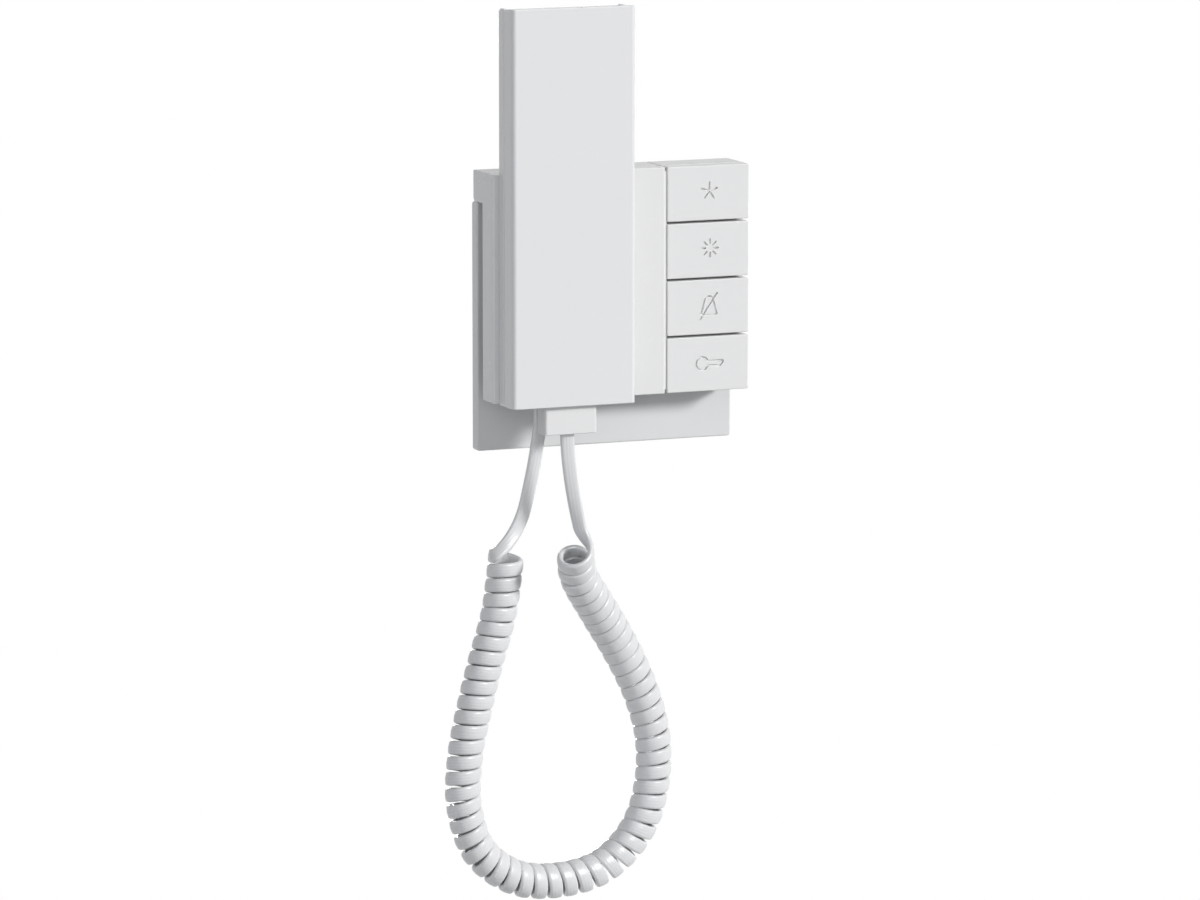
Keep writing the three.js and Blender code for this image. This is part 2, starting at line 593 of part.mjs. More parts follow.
/** A button cap with its middle on the origin: a shallow cup with a press boss and two latch legs. */
function capGeometry() {
  const inner = BASE_DEPTH - BUTTON_WALL;
  const switchFront = PART_SEAT + SWITCH_HEIGHT;
  const stemTop = switchFront + STEM_REACH;
  const legEnd = BOARD_BACK + 0.3;
  const legs = [-1, 1].flatMap((side) => {
    const span = (from, to) => (side > 0 ? [from, to] : [-to, -from]);
    const outer = LEG.offset + LEG.thickness;
    return [
      block(span(LEG.offset, outer), [legEnd, inner + 0.2], [-LEG.width / 2, LEG.width / 2]),
      block(
        span(outer - 0.2, outer + LEG.lip),
        [legEnd, HOUSING_FRONT - HOUSING_PLATE - GAP],
        [-LEG.width / 2, LEG.width / 2],
      ),
    ];
  });
  return geometryOf(join(
    cut(
      centredBlock(0, 0, BUTTON_WIDTH, BUTTON_HEIGHT, [BUTTON_BACK, BASE_DEPTH]),
      centredBlock(0, 0, BUTTON_WIDTH - 2 * BUTTON_WALL, BUTTON_HEIGHT - 2 * BUTTON_WALL, [0, inner]),
    ),
    rod(0, 0, SWITCH_SIZE, [stemTop + GAP, inner + 0.2]),
    ...legs,
  ));
}

function buttons() {
  const group = new THREE.Group();
  const cap = capGeometry();
  const switchFront = PART_SEAT + SWITCH_HEIGHT;
  const boreFloor = PART_SEAT + 1;
  const reach = [boreFloor + BUTTON_TRAVEL + 0.2, switchFront + STEM_REACH];
  const stem = geometryOf(rod(0, 0, STEM_DIAMETER, reach));
  const body = geometryOf(cut(
    centredBlock(0, 0, SWITCH_SIZE, SWITCH_SIZE, [PART_SEAT, switchFront]),
    rod(0, 0, STEM_DIAMETER + SCREW_PLAY, [boreFloor, switchFront + CUT]),
  ));
  BUTTON_HEIGHTS.forEach((z, i) => {
    const parts = [
      piece(`button_cap_${i + 1}`, cap, "whiteGloss"),
      piece(`switch_stem_${i + 1}`, stem, "blackPlastic"),
      piece(`switch_body_${i + 1}`, body, "blackPlastic"),
    ];
    parts.forEach((mesh) => mesh.position.set(BUTTON_MIDDLE, 0, z));
    group.add(...parts);
  });
  return group;
}

// ---- Handset ------------------------------------------------------------------------------------
const SHELL_SCREW_SINK = 2.2; // of its head into the handset's back
const SHELL_SCREW_TIP = HANDSET_FRONT - FRONT_WALL - 2; // the end of its hole, out from the wall
const HANDSET_SPAN = [HANDSET_X - HANDSET_WIDTH / 2, HANDSET_X + HANDSET_WIDTH / 2];

/** A box inside the handset's outline, drawn in from its sides, sloping top and bottom by one margin. */
function inset(margin, outs) {
  return block(
    [HANDSET_SPAN[0] + margin, HANDSET_SPAN[1] - margin],
    outs,
    [HANDSET_BOTTOM + margin, HANDSET_TOP - TOP_SLOPE - margin],
  );
}

/** A shell's outer form, whose top falls towards the wall. */
function shellForm([back, front]) {
  const level = (out) => HANDSET_TOP - (TOP_SLOPE * (HANDSET_FRONT - out)) / HANDSET_DEPTH;
  const side = new THREE.Shape([
    new THREE.Vector2(back, HANDSET_BOTTOM),
    new THREE.Vector2(front, HANDSET_BOTTOM),
    new THREE.Vector2(front, level(front)),
    new THREE.Vector2(back, level(back)),
  ]);
  return sideways(side, HANDSET_SPAN);
}

/** The slot in the handset's lower end where the cord block's neck passes. */
function blockSlot() {
  const [width, depth] = [CORD_BLOCK.width * 0.6, CORD_BLOCK.depth / 2];
  const out = blockMiddle();
  return block(
    [HANDSET_X - width / 2 - GAP, HANDSET_X + width / 2 + GAP],
    [out - depth / 2 - GAP, out + depth / 2 + GAP],
    [HANDSET_BOTTOM - CUT, HANDSET_BOTTOM + FRONT_WALL + LIP_WALL + 2],
  );
}

/** How far out the middle of the cord block lies. */
function blockMiddle() {
  return HANDSET_BACK + HANDSET_DEPTH / 2 - 0.6;
}

function rearShell() {
  const tube = [REAR_INSIDE - 0.2, PARTING - GAP];
  const screwTubes = SHELL_SCREW_PLACES.map((z) => rod(HANDSET_X, z, 7.6, tube));
  const post = [REAR_INSIDE - 0.2, HANDSET_SEAT + 1.6];
  const boardPosts = [-14, 14].map((x) => rod(HANDSET_X + x, MAGNET_Z - 2, 4, post));
  const screwCuts = SHELL_SCREW_PLACES.flatMap((z) => [
    rod(HANDSET_X, z, SHELL_SCREW.shank + SCREW_PLAY, [HANDSET_BACK, PARTING + CUT]),
    rod(HANDSET_X, z, SHELL_SCREW.head + SCREW_PLAY, [HANDSET_BACK - CUT, HANDSET_BACK + SHELL_SCREW_SINK]),
  ]);
  const ring = Array.from({ length: 6 }, (_, i) => [
    5 * Math.cos((i * Math.PI) / 3),
    5 * Math.sin((i * Math.PI) / 3),
  ]);
  const through = [HANDSET_BACK - CUT, REAR_INSIDE + CUT];
  const earHoles = [[0, 0], ...ring].map(([x, z]) => rod(HANDSET_X + x, EARPIECE_Z + z, 2, through, 10));
  return piece("handset_rear_shell", cut(
    join(
      cut(shellForm([HANDSET_BACK, PARTING]), inset(REAR_WALL, [REAR_INSIDE, PARTING + CUT])),
      ...screwTubes,
      ...boardPosts,
    ),
    ...screwCuts,
    ...earHoles,
    rod(HANDSET_X, MICROPHONE_Z, 1.8, through, 10),
    hookBar(HOOK_REACH + 6, HOOK_PLAY),
    blockSlot(),
  ), "whiteGloss");
}

function frontShell() {
  const back = PARTING + GAP;
  const ledge = FRONT_WALL + LIP_WALL;
  const inside = HANDSET_FRONT - FRONT_WALL;
  const screwBosses = SHELL_SCREW_PLACES.map((z) => rod(HANDSET_X, z, BOSS_DIAMETER, [back, inside + 0.2]));
  const lipOutside = REAR_WALL + GAP;
  const shell = join(
    cut(shellForm([back, HANDSET_FRONT]), inset(FRONT_WALL, [back - CUT, inside])),
    cut(inset(FRONT_WALL - 0.2, [back, back + 1.4]), inset(ledge, [back - CUT, back + 2])),
    cut(inset(lipOutside, [PARTING - LIP_REACH, back + 0.2]), inset(ledge, [0, back + 2])),
    ...screwBosses,
  );
  return piece("handset_front_shell", cut(
    shell,
    ...SHELL_SCREW_PLACES.map((z) => screwHole(SHELL_SCREW, HANDSET_X, z, [back - CUT, SHELL_SCREW_TIP])),
    blockSlot(),
  ), "whiteGloss");
}

/** A turned piece on the handset's rear wall, with its base at one distance out. */
function handsetTurned(name, profile, z, out, finish) {
  const mesh = piece(name, solidShape(turned(profile)), finish);
  mesh.rotation.x = Math.PI;
  mesh.position.set(HANDSET_X, -out, z);
  return mesh;
}

function earpiece() {
  const radius = EARPIECE_DIAMETER / 2;
  const gasket = cut(
    rod(HANDSET_X, EARPIECE_Z, EARPIECE_DIAMETER, [HANDSET_SEAT, HANDSET_SEAT + 1.2], 32),
    rod(HANDSET_X, EARPIECE_Z, EARPIECE_DIAMETER - 8, [0, HANDSET_SEAT + 2], 32),
  );
  const dish = [[0, 0.6], [radius - 3.4, 0], [radius, 0], [radius, 2.2]];
  const profile = [...dish, [radius - 4, 2.8], [radius - 5, 5.5], [0, 5.5]];
  return [
    piece("earpiece_gasket", gasket, "foam"),
    handsetTurned("earpiece_capsule", profile, EARPIECE_Z, HANDSET_SEAT + 1.2 + GAP, "blackPlastic"),
  ];
}

function microphone() {
  const radius = MICROPHONE_DIAMETER / 2;
  const wall = 1.2;
  const top = HANDSET_SEAT + 6;
  const cup = cut(
    rod(HANDSET_X, MICROPHONE_Z, MICROPHONE_DIAMETER + 2 * (wall + GAP), [HANDSET_SEAT, top], 20),
    rod(HANDSET_X, MICROPHONE_Z, MICROPHONE_DIAMETER + 2 * GAP, [HANDSET_SEAT + 1.5, top + CUT], 20),
    rod(HANDSET_X, MICROPHONE_Z, 2, [0, HANDSET_SEAT + 2], 10),
  );
  const profile = [[0, 0], [radius, 0], [radius, 4], [radius - 0.5, 4.5], [0, 4.5]];
  return [
    piece("microphone_boot", cup, "rubber"),
    handsetTurned("microphone_capsule", profile, MICROPHONE_Z, HANDSET_SEAT + 1.5 + GAP, "steel"),
  ];
}

function cordBlock() {
  const out = blockMiddle();
  const about = (middle, size) => [middle - size / 2, middle + size / 2];
  const level = (width, depth, z) => block(about(HANDSET_X, width), about(out, depth), z);
  const top = HANDSET_BOTTOM - GAP;
  const inside = HANDSET_BOTTOM + FRONT_WALL + LIP_WALL + GAP;
  return piece("handset_cord_block", join(
    level(CORD_BLOCK.width, CORD_BLOCK.depth, [top - CORD_BLOCK.height, top]),
    level(CORD_BLOCK.width * 0.6, CORD_BLOCK.depth / 2, [top - CUT, inside + CUT]),
    level(CORD_BLOCK.width * 0.85, CORD_BLOCK.depth * 0.8, [inside, inside + 1.8]),
  ), "whiteSatin");
}

function handset() {
  const group = new THREE.Group();
  const boardSeat = HANDSET_SEAT + 1.6 + GAP;
  const weight = block([HANDSET_X - 16, HANDSET_X + 16], [HANDSET_SEAT, HANDSET_SEAT + 4], WEIGHT_SPAN);
  const board = centredBlock(HANDSET_X, MAGNET_Z - 2, 36, 15, [boardSeat, boardSeat + BOARD_THICKNESS]);
  const magnet = turned([[0, 0], [4, 0], [4, 1.4], [0, 1.4]]);
  group.add(rearShell(), frontShell(), ...earpiece(), ...microphone(), cordBlock());
  group.add(
    piece("handset_weight", weight, "steel"),
    piece("handset_board", board, "board"),
  );
  const magnetMesh = piece("hook_magnet", solidShape(magnet), "steel");
  magnetMesh.rotation.x = Math.PI;
  magnetMesh.position.set(HANDSET_X, -HANDSET_SEAT, MAGNET_Z);
  group.add(magnetMesh);
  const screwSeat = HANDSET_BACK + SHELL_SCREW_SINK - GAP;
  const shank = SHELL_SCREW_TIP - GAP - screwSeat;
  SHELL_SCREW_PLACES.forEach((z, i) => {
    const mesh = piece(`handset_screw_${i + 1}`, screwGeometry(SHELL_SCREW, shank), "steel");
    mesh.rotation.x = Math.PI;
    mesh.position.set(HANDSET_X, -screwSeat, z);
    group.add(mesh);
  });
  return group;
}

// ---- Cord ---------------------------------------------------------------------------------------
// The cord leaves the base, hangs as a curly loop and comes back up into the handset's cord block.
const TAIL_BASE_ROUTE = [
  [-29.2, -14.8, -27.4], [-29.4, -14.8, -35], [-30.2, -14.4, -42], [-31.7, -13.8, -51.5],
  [-33.9, -13.2, -62.3], [-37.2, -12.4, -73], [-40.5, -11.9, -80.9],
];
const COIL_ROUTE = [
  [-41.2, -11.6, -82.6], [-42.6, -11.5, -94], [-44.5, -11.3, -105.4], [-49.2, -11, -121.3],
  [-53.4, -10.7, -137.7], [-56.7, -10.4, -154.3], [-57.3, -10.2, -172.5], [-51.3, -10, -190.3],
  [-36.9, -9.8, -201.4], [-18.9, -9.6, -203.6], [-1.9, -9.4, -199.4], [10.8, -9.2, -187.4],
  [16.6, -9, -171.5], [17.1, -8.8, -153.8], [12.4, -8.8, -136.4], [4, -9.9, -119.7],
  [-6.5, -14.8, -104.5], [-17, -22, -90.6], [-21.9, -27, -81.2],
];
const TAIL_HANDSET_ROUTE = [
  [-23.8, -27, -37], [-23.5, -27, -43.5], [-22.7, -27, -51], [-21, -26.8, -61],
  [-18.9, -26.2, -70], [-17, -25.2, -77.2],
];

/** The smooth curve through a list of points. */
function route(points) {
  return new THREE.CatmullRomCurve3(points.map(([x, y, z]) => new THREE.Vector3(x, y, z)));
}

/** A solid of one section along a curve. */
function along(curve, outline, steps) {
  return new THREE.ExtrudeGeometry(outline, { steps, bevelEnabled: false, extrudePath: curve });
}

/** The ribbon's flat section, its width across the room and its thickness towards the wall. */
function ribbonOutline() {
  const [thick, wide, corner] = [RIBBON_THICKNESS / 2, RIBBON_WIDTH / 2, RIBBON_THICKNESS / 4];
  return new THREE.Shape([
    new THREE.Vector2(thick, wide - corner),
    new THREE.Vector2(thick - corner, wide),
    new THREE.Vector2(corner - thick, wide),
    new THREE.Vector2(-thick, wide - corner),
    new THREE.Vector2(-thick, corner - wide),
    new THREE.Vector2(corner - thick, -wide),
    new THREE.Vector2(thick - corner, -wide),
    new THREE.Vector2(thick, corner - wide),
  ]);
}

/** The round outline of the curly stretch, all its turns taken as one. */
function coilOutline() {
  const sides = 10;
  return new THREE.Shape(Array.from({ length: sides }, (_, i) => new THREE.Vector2(
    (COIL_DIAMETER / 2) * Math.cos((2 * Math.PI * i) / sides),
    (COIL_DIAMETER / 2) * Math.sin((2 * Math.PI * i) / sides),
  )));
}

function cord() {
  const group = new THREE.Group();
  group.add(
    piece("cord_tail_base", solidShape(along(route(TAIL_BASE_ROUTE), ribbonOutline(), 8)), "cord"),
    piece("cord_coil", solidShape(along(route(COIL_ROUTE), coilOutline(), 32)), "cord"),
    piece("cord_tail_handset", solidShape(along(route(TAIL_HANDSET_ROUTE), ribbonOutline(), 8)), "cord"),
  );
  return group;
}

// ---- The whole station --------------------------------------------------------------------------
const station = new THREE.Group();
station.add(wallFixing(), baseInside(), baseCover(), buttonHousing(), buttons(), handset(), cord());

export default station;
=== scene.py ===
"""A slim wall handset station: a wall frame, a base with four push buttons, a handset and its curly cord.

Metres. X runs to the right, Z up and Y into the wall, with the origin on the wall behind the middle of the
frame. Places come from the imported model's boxes, and each sub-assembly is a class that builds and dresses it.
"""
import json
import logging
import math
from dataclasses import dataclass
from enum import Enum
from functools import cached_property
from typing import Callable, ClassVar, Iterable, Optional, Protocol, Sequence, Union

import bmesh
import bpy
from mathutils import Matrix, Quaternion, Vector


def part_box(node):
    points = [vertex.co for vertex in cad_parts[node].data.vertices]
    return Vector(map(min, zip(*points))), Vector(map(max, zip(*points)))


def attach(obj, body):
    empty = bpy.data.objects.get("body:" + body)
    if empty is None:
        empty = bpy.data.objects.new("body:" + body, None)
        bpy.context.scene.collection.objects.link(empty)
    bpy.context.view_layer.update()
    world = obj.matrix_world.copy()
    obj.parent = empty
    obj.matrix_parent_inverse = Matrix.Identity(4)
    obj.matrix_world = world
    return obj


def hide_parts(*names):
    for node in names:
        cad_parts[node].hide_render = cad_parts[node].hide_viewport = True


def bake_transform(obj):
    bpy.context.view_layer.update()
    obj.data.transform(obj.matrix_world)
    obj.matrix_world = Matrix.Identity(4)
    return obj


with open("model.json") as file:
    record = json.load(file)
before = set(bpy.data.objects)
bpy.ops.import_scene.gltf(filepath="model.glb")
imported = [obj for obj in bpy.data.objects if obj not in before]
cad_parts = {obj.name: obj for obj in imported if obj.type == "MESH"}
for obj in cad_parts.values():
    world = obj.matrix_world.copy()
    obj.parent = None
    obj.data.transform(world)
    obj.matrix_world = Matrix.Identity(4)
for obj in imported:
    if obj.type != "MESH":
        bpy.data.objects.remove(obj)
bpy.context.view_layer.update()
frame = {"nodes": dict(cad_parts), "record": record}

MM = 0.001
# How far a cutter, or a shape that is joined on, reaches past the face that it meets.
OVER = 1 * MM
# A rounding of half a slot's width would leave no face at its ends, so it stays just below that.
NEARLY_ROUND = 0.98
LOG = logging.getLogger("handset_station")
Point = Sequence[float]
Colour = tuple[float, float, float]
EdgeTest = Callable[[bmesh.types.BMEdge], bool]


# ---- Shader building ----------------------------------------------------------------------------


class Signal:
    """A number that varies over a surface. Expressions on it add their own Math nodes."""

    def __init__(self, nodes: "Nodes", socket: bpy.types.NodeSocket) -> None:
        """Wrap one output socket."""
        self.nodes = nodes
        self.socket = socket

    def _math(self, operation: str, first: "Level", second: "Level", clamp: bool = False) -> "Signal":
        """Add one Math node.

        Args:
            operation: the Math node's operation.
            first: its first value.
            second: its second value.
            clamp: whether the result is kept between 0 and 1.

        Returns:
            The node's result.
        """
        settings = {"operation": operation, "use_clamp": clamp}
        made = self.nodes.node("ShaderNodeMath", settings, {0: first, 1: second})
        return Signal(self.nodes, made.outputs[0])

    def __add__(self, other: "Level") -> "Signal":
        """Sum."""
        return self._math("ADD", self, other)

    __radd__ = __add__

    def __sub__(self, other: "Level") -> "Signal":
        """Difference."""
        return self._math("SUBTRACT", self, other)

    def __rsub__(self, other: "Level") -> "Signal":
        """Difference from a number."""
        return self._math("SUBTRACT", other, self)

    def __mul__(self, other: "Level") -> "Signal":
        """Product."""
        return self._math("MULTIPLY", self, other)

    __rmul__ = __mul__

    def clipped(self) -> "Signal":
        """The same number kept between 0 and 1."""
        return self._math("ADD", self, 0.0, clamp=True)

    def above(self, level: float, softness: float) -> "Signal":
        """A mask that rises from 0 to 1 as the number passes a level."""
        return self._math("MULTIPLY", self - level, 1 / softness, clamp=True)

    def wave(self) -> "Signal":
        """The sine of the number."""
        return self._math("SINE", self, 0.0)

    def or_more(self, other: "Level") -> "Signal":
        """The larger of two numbers."""
        return self._math("MAXIMUM", self, other)


Level = Union[float, Signal]


class Nodes:
    """A node tree in the making. Every node comes from its one method."""

    def __init__(self, tree: bpy.types.NodeTree) -> None:
        """Take a tree."""
        self.tree = tree

    def node(
        self, kind: str, settings: Optional[dict] = None, inputs: Optional[dict] = None
    ) -> bpy.types.Node:
        """Add a node.

        Args:
            kind: the node's type name.
            settings: its own properties, set before its sockets.
            inputs: values or links for its sockets, by name or index.

        Returns:
            The node.
        """
        made = self.tree.nodes.new(kind)
        for name, value in (settings or {}).items():
            setattr(made, name, value)
        for name, value in (inputs or {}).items():
            self.feed(made.inputs[name], value)
        return made

    def feed(self, socket: bpy.types.NodeSocket, value: object) -> None:
        """Link or set one socket.

        Args:
            socket: the socket.
            value: a signal or another socket to link, or a constant to set.
        """
        if isinstance(value, Signal):
            self.tree.links.new(value.socket, socket)
        elif isinstance(value, bpy.types.NodeSocket):
            self.tree.links.new(value, socket)
        elif socket.type == "RGBA":
            socket.default_value = (*value, 1.0)
        else:
            socket.default_value = value


class Sheet(Nodes):
    """The node tree of one material, with its Principled shader and the object's coordinates."""

    def __init__(self, name: str) -> None:
        """Start a material.

        Args:
            name: the material's name.
        """
        self.material = bpy.data.materials.new(name)
        self.material.use_nodes = True
        super().__init__(self.material.node_tree)
        self.shader = self.tree.nodes["Principled BSDF"]

    @cached_property
    def place(self) -> bpy.types.NodeSocket:
        """The object's own coordinates."""
        return self.node("ShaderNodeTexCoord").outputs["Object"]

    def stretched(self, stretch: Point, turn: Point = (0, 0, 0)) -> bpy.types.NodeSocket:
        """The object's coordinates, scaled along each axis and turned."""
        mapping = {"Vector": self.place, "Scale": stretch, "Rotation": turn}
        return self.node("ShaderNodeMapping", {"vector_type": "POINT"}, mapping).outputs[0]

    def noise(
        self,
        size: float,
        detail: float = 2.0,
        vector: Optional[bpy.types.NodeSocket] = None,
        rough: float = 0.5,
    ) -> Signal:
        """Cloudy noise.

        Args:
            size: the size of its blotches, in metres.
            detail: how many finer layers it has.
            vector: the coordinates it reads, the object's own if None.
            rough: how strong the finer layers are.

        Returns:
            The noise, about 0 to 1.
        """
        inputs = {"Vector": vector or self.place, "Scale": 1 / size, "Detail": detail, "Roughness": rough}
        return Signal(self, self.node("ShaderNodeTexNoise", {}, inputs).outputs[0])

    def cells(self, size: float, feature: str = "F1") -> Signal:
        """Distances in a pattern of cells.

        Args:
            size: the size of the cells, in metres.
            feature: F1 for the distance from a cell's middle, DISTANCE_TO_EDGE from its edge.

        Returns:
            The distance, as a share of a cell's size.
        """
        inputs = {"Vector": self.place, "Scale": 1 / size}
        made = self.node("ShaderNodeTexVoronoi", {"feature": feature}, inputs)
        return Signal(self, made.outputs["Distance"])

    def edge_wear_and_highlight(self, reach: float) -> Signal:
        """A broken mask over outside corners: real polish and wear from handling, and on the plastics the place
        of a painted highlight.

        Args:
            reach: how far in from an edge it goes, in metres.

        Returns:
            The mask, 0 on flats and up to 1 on edges.
        """
        gain = 7.0
        rounded = self.node("ShaderNodeBevel", {"samples": 6}, {"Radius": reach}).outputs[0]
        flat = self.node("ShaderNodeNewGeometry").outputs["Normal"]
        match = self.node("ShaderNodeVectorMath", {"operation": "DOT_PRODUCT"}, {0: rounded, 1: flat})
        patchy = self.noise(7 * MM, 4, rough=0.6).above(0.3, 0.25)
        return ((1.0 - Signal(self, match.outputs["Value"])) * gain * patchy).clipped()

    def tint(self, amount: Level, base: object, other: object) -> bpy.types.NodeSocket:
        """A colour that goes from one to another."""
        made = self.node("ShaderNodeMix", {"data_type": "RGBA"}, {0: amount, 6: base, 7: other})
        return made.outputs[2]

    def bump(
        self, height: Level, depth: float, after: Optional[bpy.types.NodeSocket] = None
    ) -> bpy.types.NodeSocket:
        """A relief.

        Args:
            height: the relief's shape, 0 to 1.
            depth: its depth, in metres.
            after: a relief that it lies on.

        Returns:
            The new normal.
        """
        inputs = {"Height": height, "Distance": depth, "Strength": 1.0}
        if after is not None:
            inputs["Normal"] = after
        return self.node("ShaderNodeBump", {}, inputs).outputs[0]

    def dress(self, **values: object) -> bpy.types.Material:
        """Set the shader's sockets.

        Args:
            **values: constants or links for its sockets, named with underscores for spaces.

        Returns:
            The material.
        """
        for name, value in values.items():
            self.feed(self.shader.inputs[name.replace("_", " ")], value)
        return self.material


# ---- Finishes -----------------------------------------------------------------------------------


class Finish(Protocol):
    """What every finish offers: the slot that it is for, and its material."""

    slot: str

    def material(self) -> bpy.types.Material:
        """Build the finish."""


@dataclass(frozen=True)
class MouldedPlastic:
    """Moulded plastic: an even colour that clouds a little, a fine tool texture, and outside edges that
    handling polishes and that are painted lighter as a highlight.
    """

    slot: str
    colour: Colour
    cloud: Colour
    roughness: float
    specular: float = 0.36
    cloud_size: float = 24 * MM
    speck_size: float = 1.6 * MM
    handling_size: float = 9 * MM
    grain_size: float = 0.28 * MM
    grain_depth: float = 0.003 * MM
    peel_size: float = 3.2 * MM
    peel_depth: float = 0.004 * MM
    # Reach of the edge mask, and how much lighter it paints the edges as a highlight; the mask also lowers the
    # roughness there for real handling polish.
    rub: float = 0.4 * MM
    edge_highlight_lift: float = 1.16

    def material(self) -> bpy.types.Material:
        """Build the finish.

        Returns:
            The material.
        """
        sheet = Sheet(self.slot)
        cloudy = sheet.noise(self.cloud_size, 3)
        specks = sheet.noise(self.speck_size, 4, rough=0.7).above(0.66, 0.1)
        colour = sheet.tint(cloudy * 0.3, self.colour, self.cloud)
        colour = sheet.tint(specks * 0.12, colour, self.cloud)
        edge_wear_and_highlight = sheet.edge_wear_and_highlight(self.rub)
        # Painted highlight: outside edges are tinted lighter than the plastic, standing in for highlights along
        # them.
        painted_highlight_colour = tuple(level * self.edge_highlight_lift for level in self.colour)
        colour = sheet.tint(edge_wear_and_highlight * 0.8, colour, painted_highlight_colour)
        handled = sheet.noise(self.handling_size, 5, rough=0.62)
        drift = handled * 0.05 + sheet.noise(0.6 * MM, 2) * 0.04
        roughness = drift - edge_wear_and_highlight * 0.08 + (self.roughness - 0.07)
        peel = sheet.bump(sheet.noise(self.peel_size, 1), self.peel_depth)
        grain = sheet.bump(sheet.noise(self.grain_size, 2), self.grain_depth, peel)
        return sheet.dress(
            Base_Color=colour,
            Roughness=roughness,
            Normal=grain,
            IOR=1.49,
            Specular_IOR_Level=self.specular,
        )


@dataclass(frozen=True)
class CordVinyl:
    """Soft vinyl on a flat cord: streaks along it, faint ridges over its wires and a satin skin."""

    slot: str
    colour: Colour
    streak: Colour
    roughness: float
    specular: float = 0.8
    streak_size: float = 0.5 * MM
    streak_stretch: Point = (0.06, 1.0, 1.0)
    wire_pitch: float = 1.15 * MM

    def material(self) -> bpy.types.Material:
        """Build the finish from the cord's own map: metres along it, and metres round its section.

        Returns:
            The material.
        """
        sheet = Sheet(self.slot)
        along = sheet.node("ShaderNodeUVMap", {"uv_map": "cord"}).outputs[0]
        girth = Signal(sheet, sheet.node("ShaderNodeSeparateXYZ", {}, {0: along}).outputs[1])
        long_map = sheet.node("ShaderNodeMapping", {}, {"Vector": along, "Scale": self.streak_stretch})
        streaks = sheet.noise(self.streak_size, 3, long_map.outputs[0])
        colour = sheet.tint(streaks * 0.7, self.colour, self.streak)
        smudges = sheet.noise(14 * MM, 4)
        roughness = smudges * 0.16 + streaks * 0.08 + (self.roughness - 0.12)
        ridges = (girth * (math.tau / self.wire_pitch)).wave() * 0.5 + 0.5
        relief = sheet.bump(ridges, 0.03 * MM)
        skin = sheet.bump(streaks, 0.02 * MM, relief)
        grain = sheet.bump(sheet.noise(0.25 * MM, 2), 0.005 * MM, skin)
        return sheet.dress(
            Base_Color=colour, Roughness=roughness, Normal=grain, IOR=1.52, Specular_IOR_Level=self.specular
        )


@dataclass(frozen=True)
class PlatedSteel:
    """Zinc-plated pressed steel: drawn streaks, a mottled sheen, small dull spots and bright edges."""

    slot: str
    colour: Colour = (0.62, 0.63, 0.64)
    dull: Colour = (0.44, 0.45, 0.46)
    bright: Colour = (0.74, 0.74, 0.745)

    def material(self) -> bpy.types.Material:
        """Build the finish.

        Returns:
            The material.
        """
        sheet = Sheet(self.slot)
        drawn = sheet.noise(0.35 * MM, 3, sheet.stretched((0.04, 1, 1)))
        mottle = sheet.noise(5 * MM, 5, rough=0.65)
        spots = sheet.noise(0.9 * MM, 3).above(0.62, 0.08)
        edge_wear_and_highlight = sheet.edge_wear_and_highlight(0.5 * MM)
        colour = sheet.tint(mottle * 0.6 + spots * 0.3, self.colour, self.dull)
        colour = sheet.tint(edge_wear_and_highlight, colour, self.bright)
        roughness = mottle * 0.22 + drawn * 0.12 - edge_wear_and_highlight * 0.1 + 0.2
        relief = sheet.bump(drawn, 0.006 * MM, sheet.bump(mottle, 0.02 * MM))
        return sheet.dress(Base_Color=colour, Metallic=1.0, Roughness=roughness, Normal=relief)


@dataclass(frozen=True)
class CircuitBoard:
    """A green board: a woven laminate under lacquer, with copper tracks and tinned pads."""

    slot: str
    lacquer: Colour = (0.012, 0.09, 0.038)
    track: Colour = (0.035, 0.17, 0.07)
    pad: Colour = (0.66, 0.64, 0.6)

    def material(self) -> bpy.types.Material:
        """Build the finish.

        Returns:
            The material.
        """
        sheet = Sheet(self.slot)
        routes = sheet.cells(5 * MM, "DISTANCE_TO_EDGE").above(0.05, 0.03)
        tracks = 1.0 - routes
        pads = 1.0 - sheet.cells(4 * MM).above(0.17, 0.03)
        weave = sheet.noise(0.4 * MM, 2)
        colour = sheet.tint((tracks * 0.8 + weave * 0.2).clipped(), self.lacquer, self.track)
        colour = sheet.tint(pads, colour, self.pad)
        roughness = 0.34 - pads * 0.1 + weave * 0.08
        relief = sheet.bump((tracks * 0.6 + pads).clipped(), 0.05 * MM, sheet.bump(weave, 0.01 * MM))
        return sheet.dress(Base_Color=colour, Roughness=roughness, Normal=relief, Metallic=pads * 0.8)


@dataclass(frozen=True)
class CellFoam:
    """Open-cell foam: pores in a soft skin, their pits painted darker as shade."""

    slot: str
    colour: Colour = (0.13, 0.135, 0.14)
    # The colour painted into the pits, as shade inside the pores.
    painted_pore_shade: Colour = (0.03, 0.03, 0.032)

    def material(self) -> bpy.types.Material:
        """Build the finish.

        Returns:
            The material.
        """
        sheet = Sheet(self.slot)
        cells = sheet.cells(0.55 * MM)
        # Painted shade: the pits of the cells are tinted dark, standing in for the shade inside the pores.
        colour = sheet.tint(1.0 - cells.above(0.2, 0.3), self.colour, self.painted_pore_shade)
        roughness = sheet.noise(0.4 * MM) * 0.1 + 0.86
        return sheet.dress(Base_Color=colour, Roughness=roughness, Normal=sheet.bump(cells, 0.15 * MM))


@dataclass(frozen=True)
class SwitchGlass:
    """Pale green tube glass with a faint ripple."""

    slot: str
    colour: Colour = (0.66, 0.8, 0.74)
    deep: Colour = (0.5, 0.66, 0.6)

    def material(self) -> bpy.types.Material:
        """Build the finish.

        Returns:
            The material.
        """
        sheet = Sheet(self.slot)
        ripple = sheet.noise(1.2 * MM, 2)
        relief = sheet.bump(ripple, 0.02 * MM)
        return sheet.dress(
            Base_Color=sheet.tint(ripple * 0.4, self.colour, self.deep),
            Roughness=ripple * 0.06 + 0.04,
            Normal=relief,
            Transmission_Weight=0.6,
        )


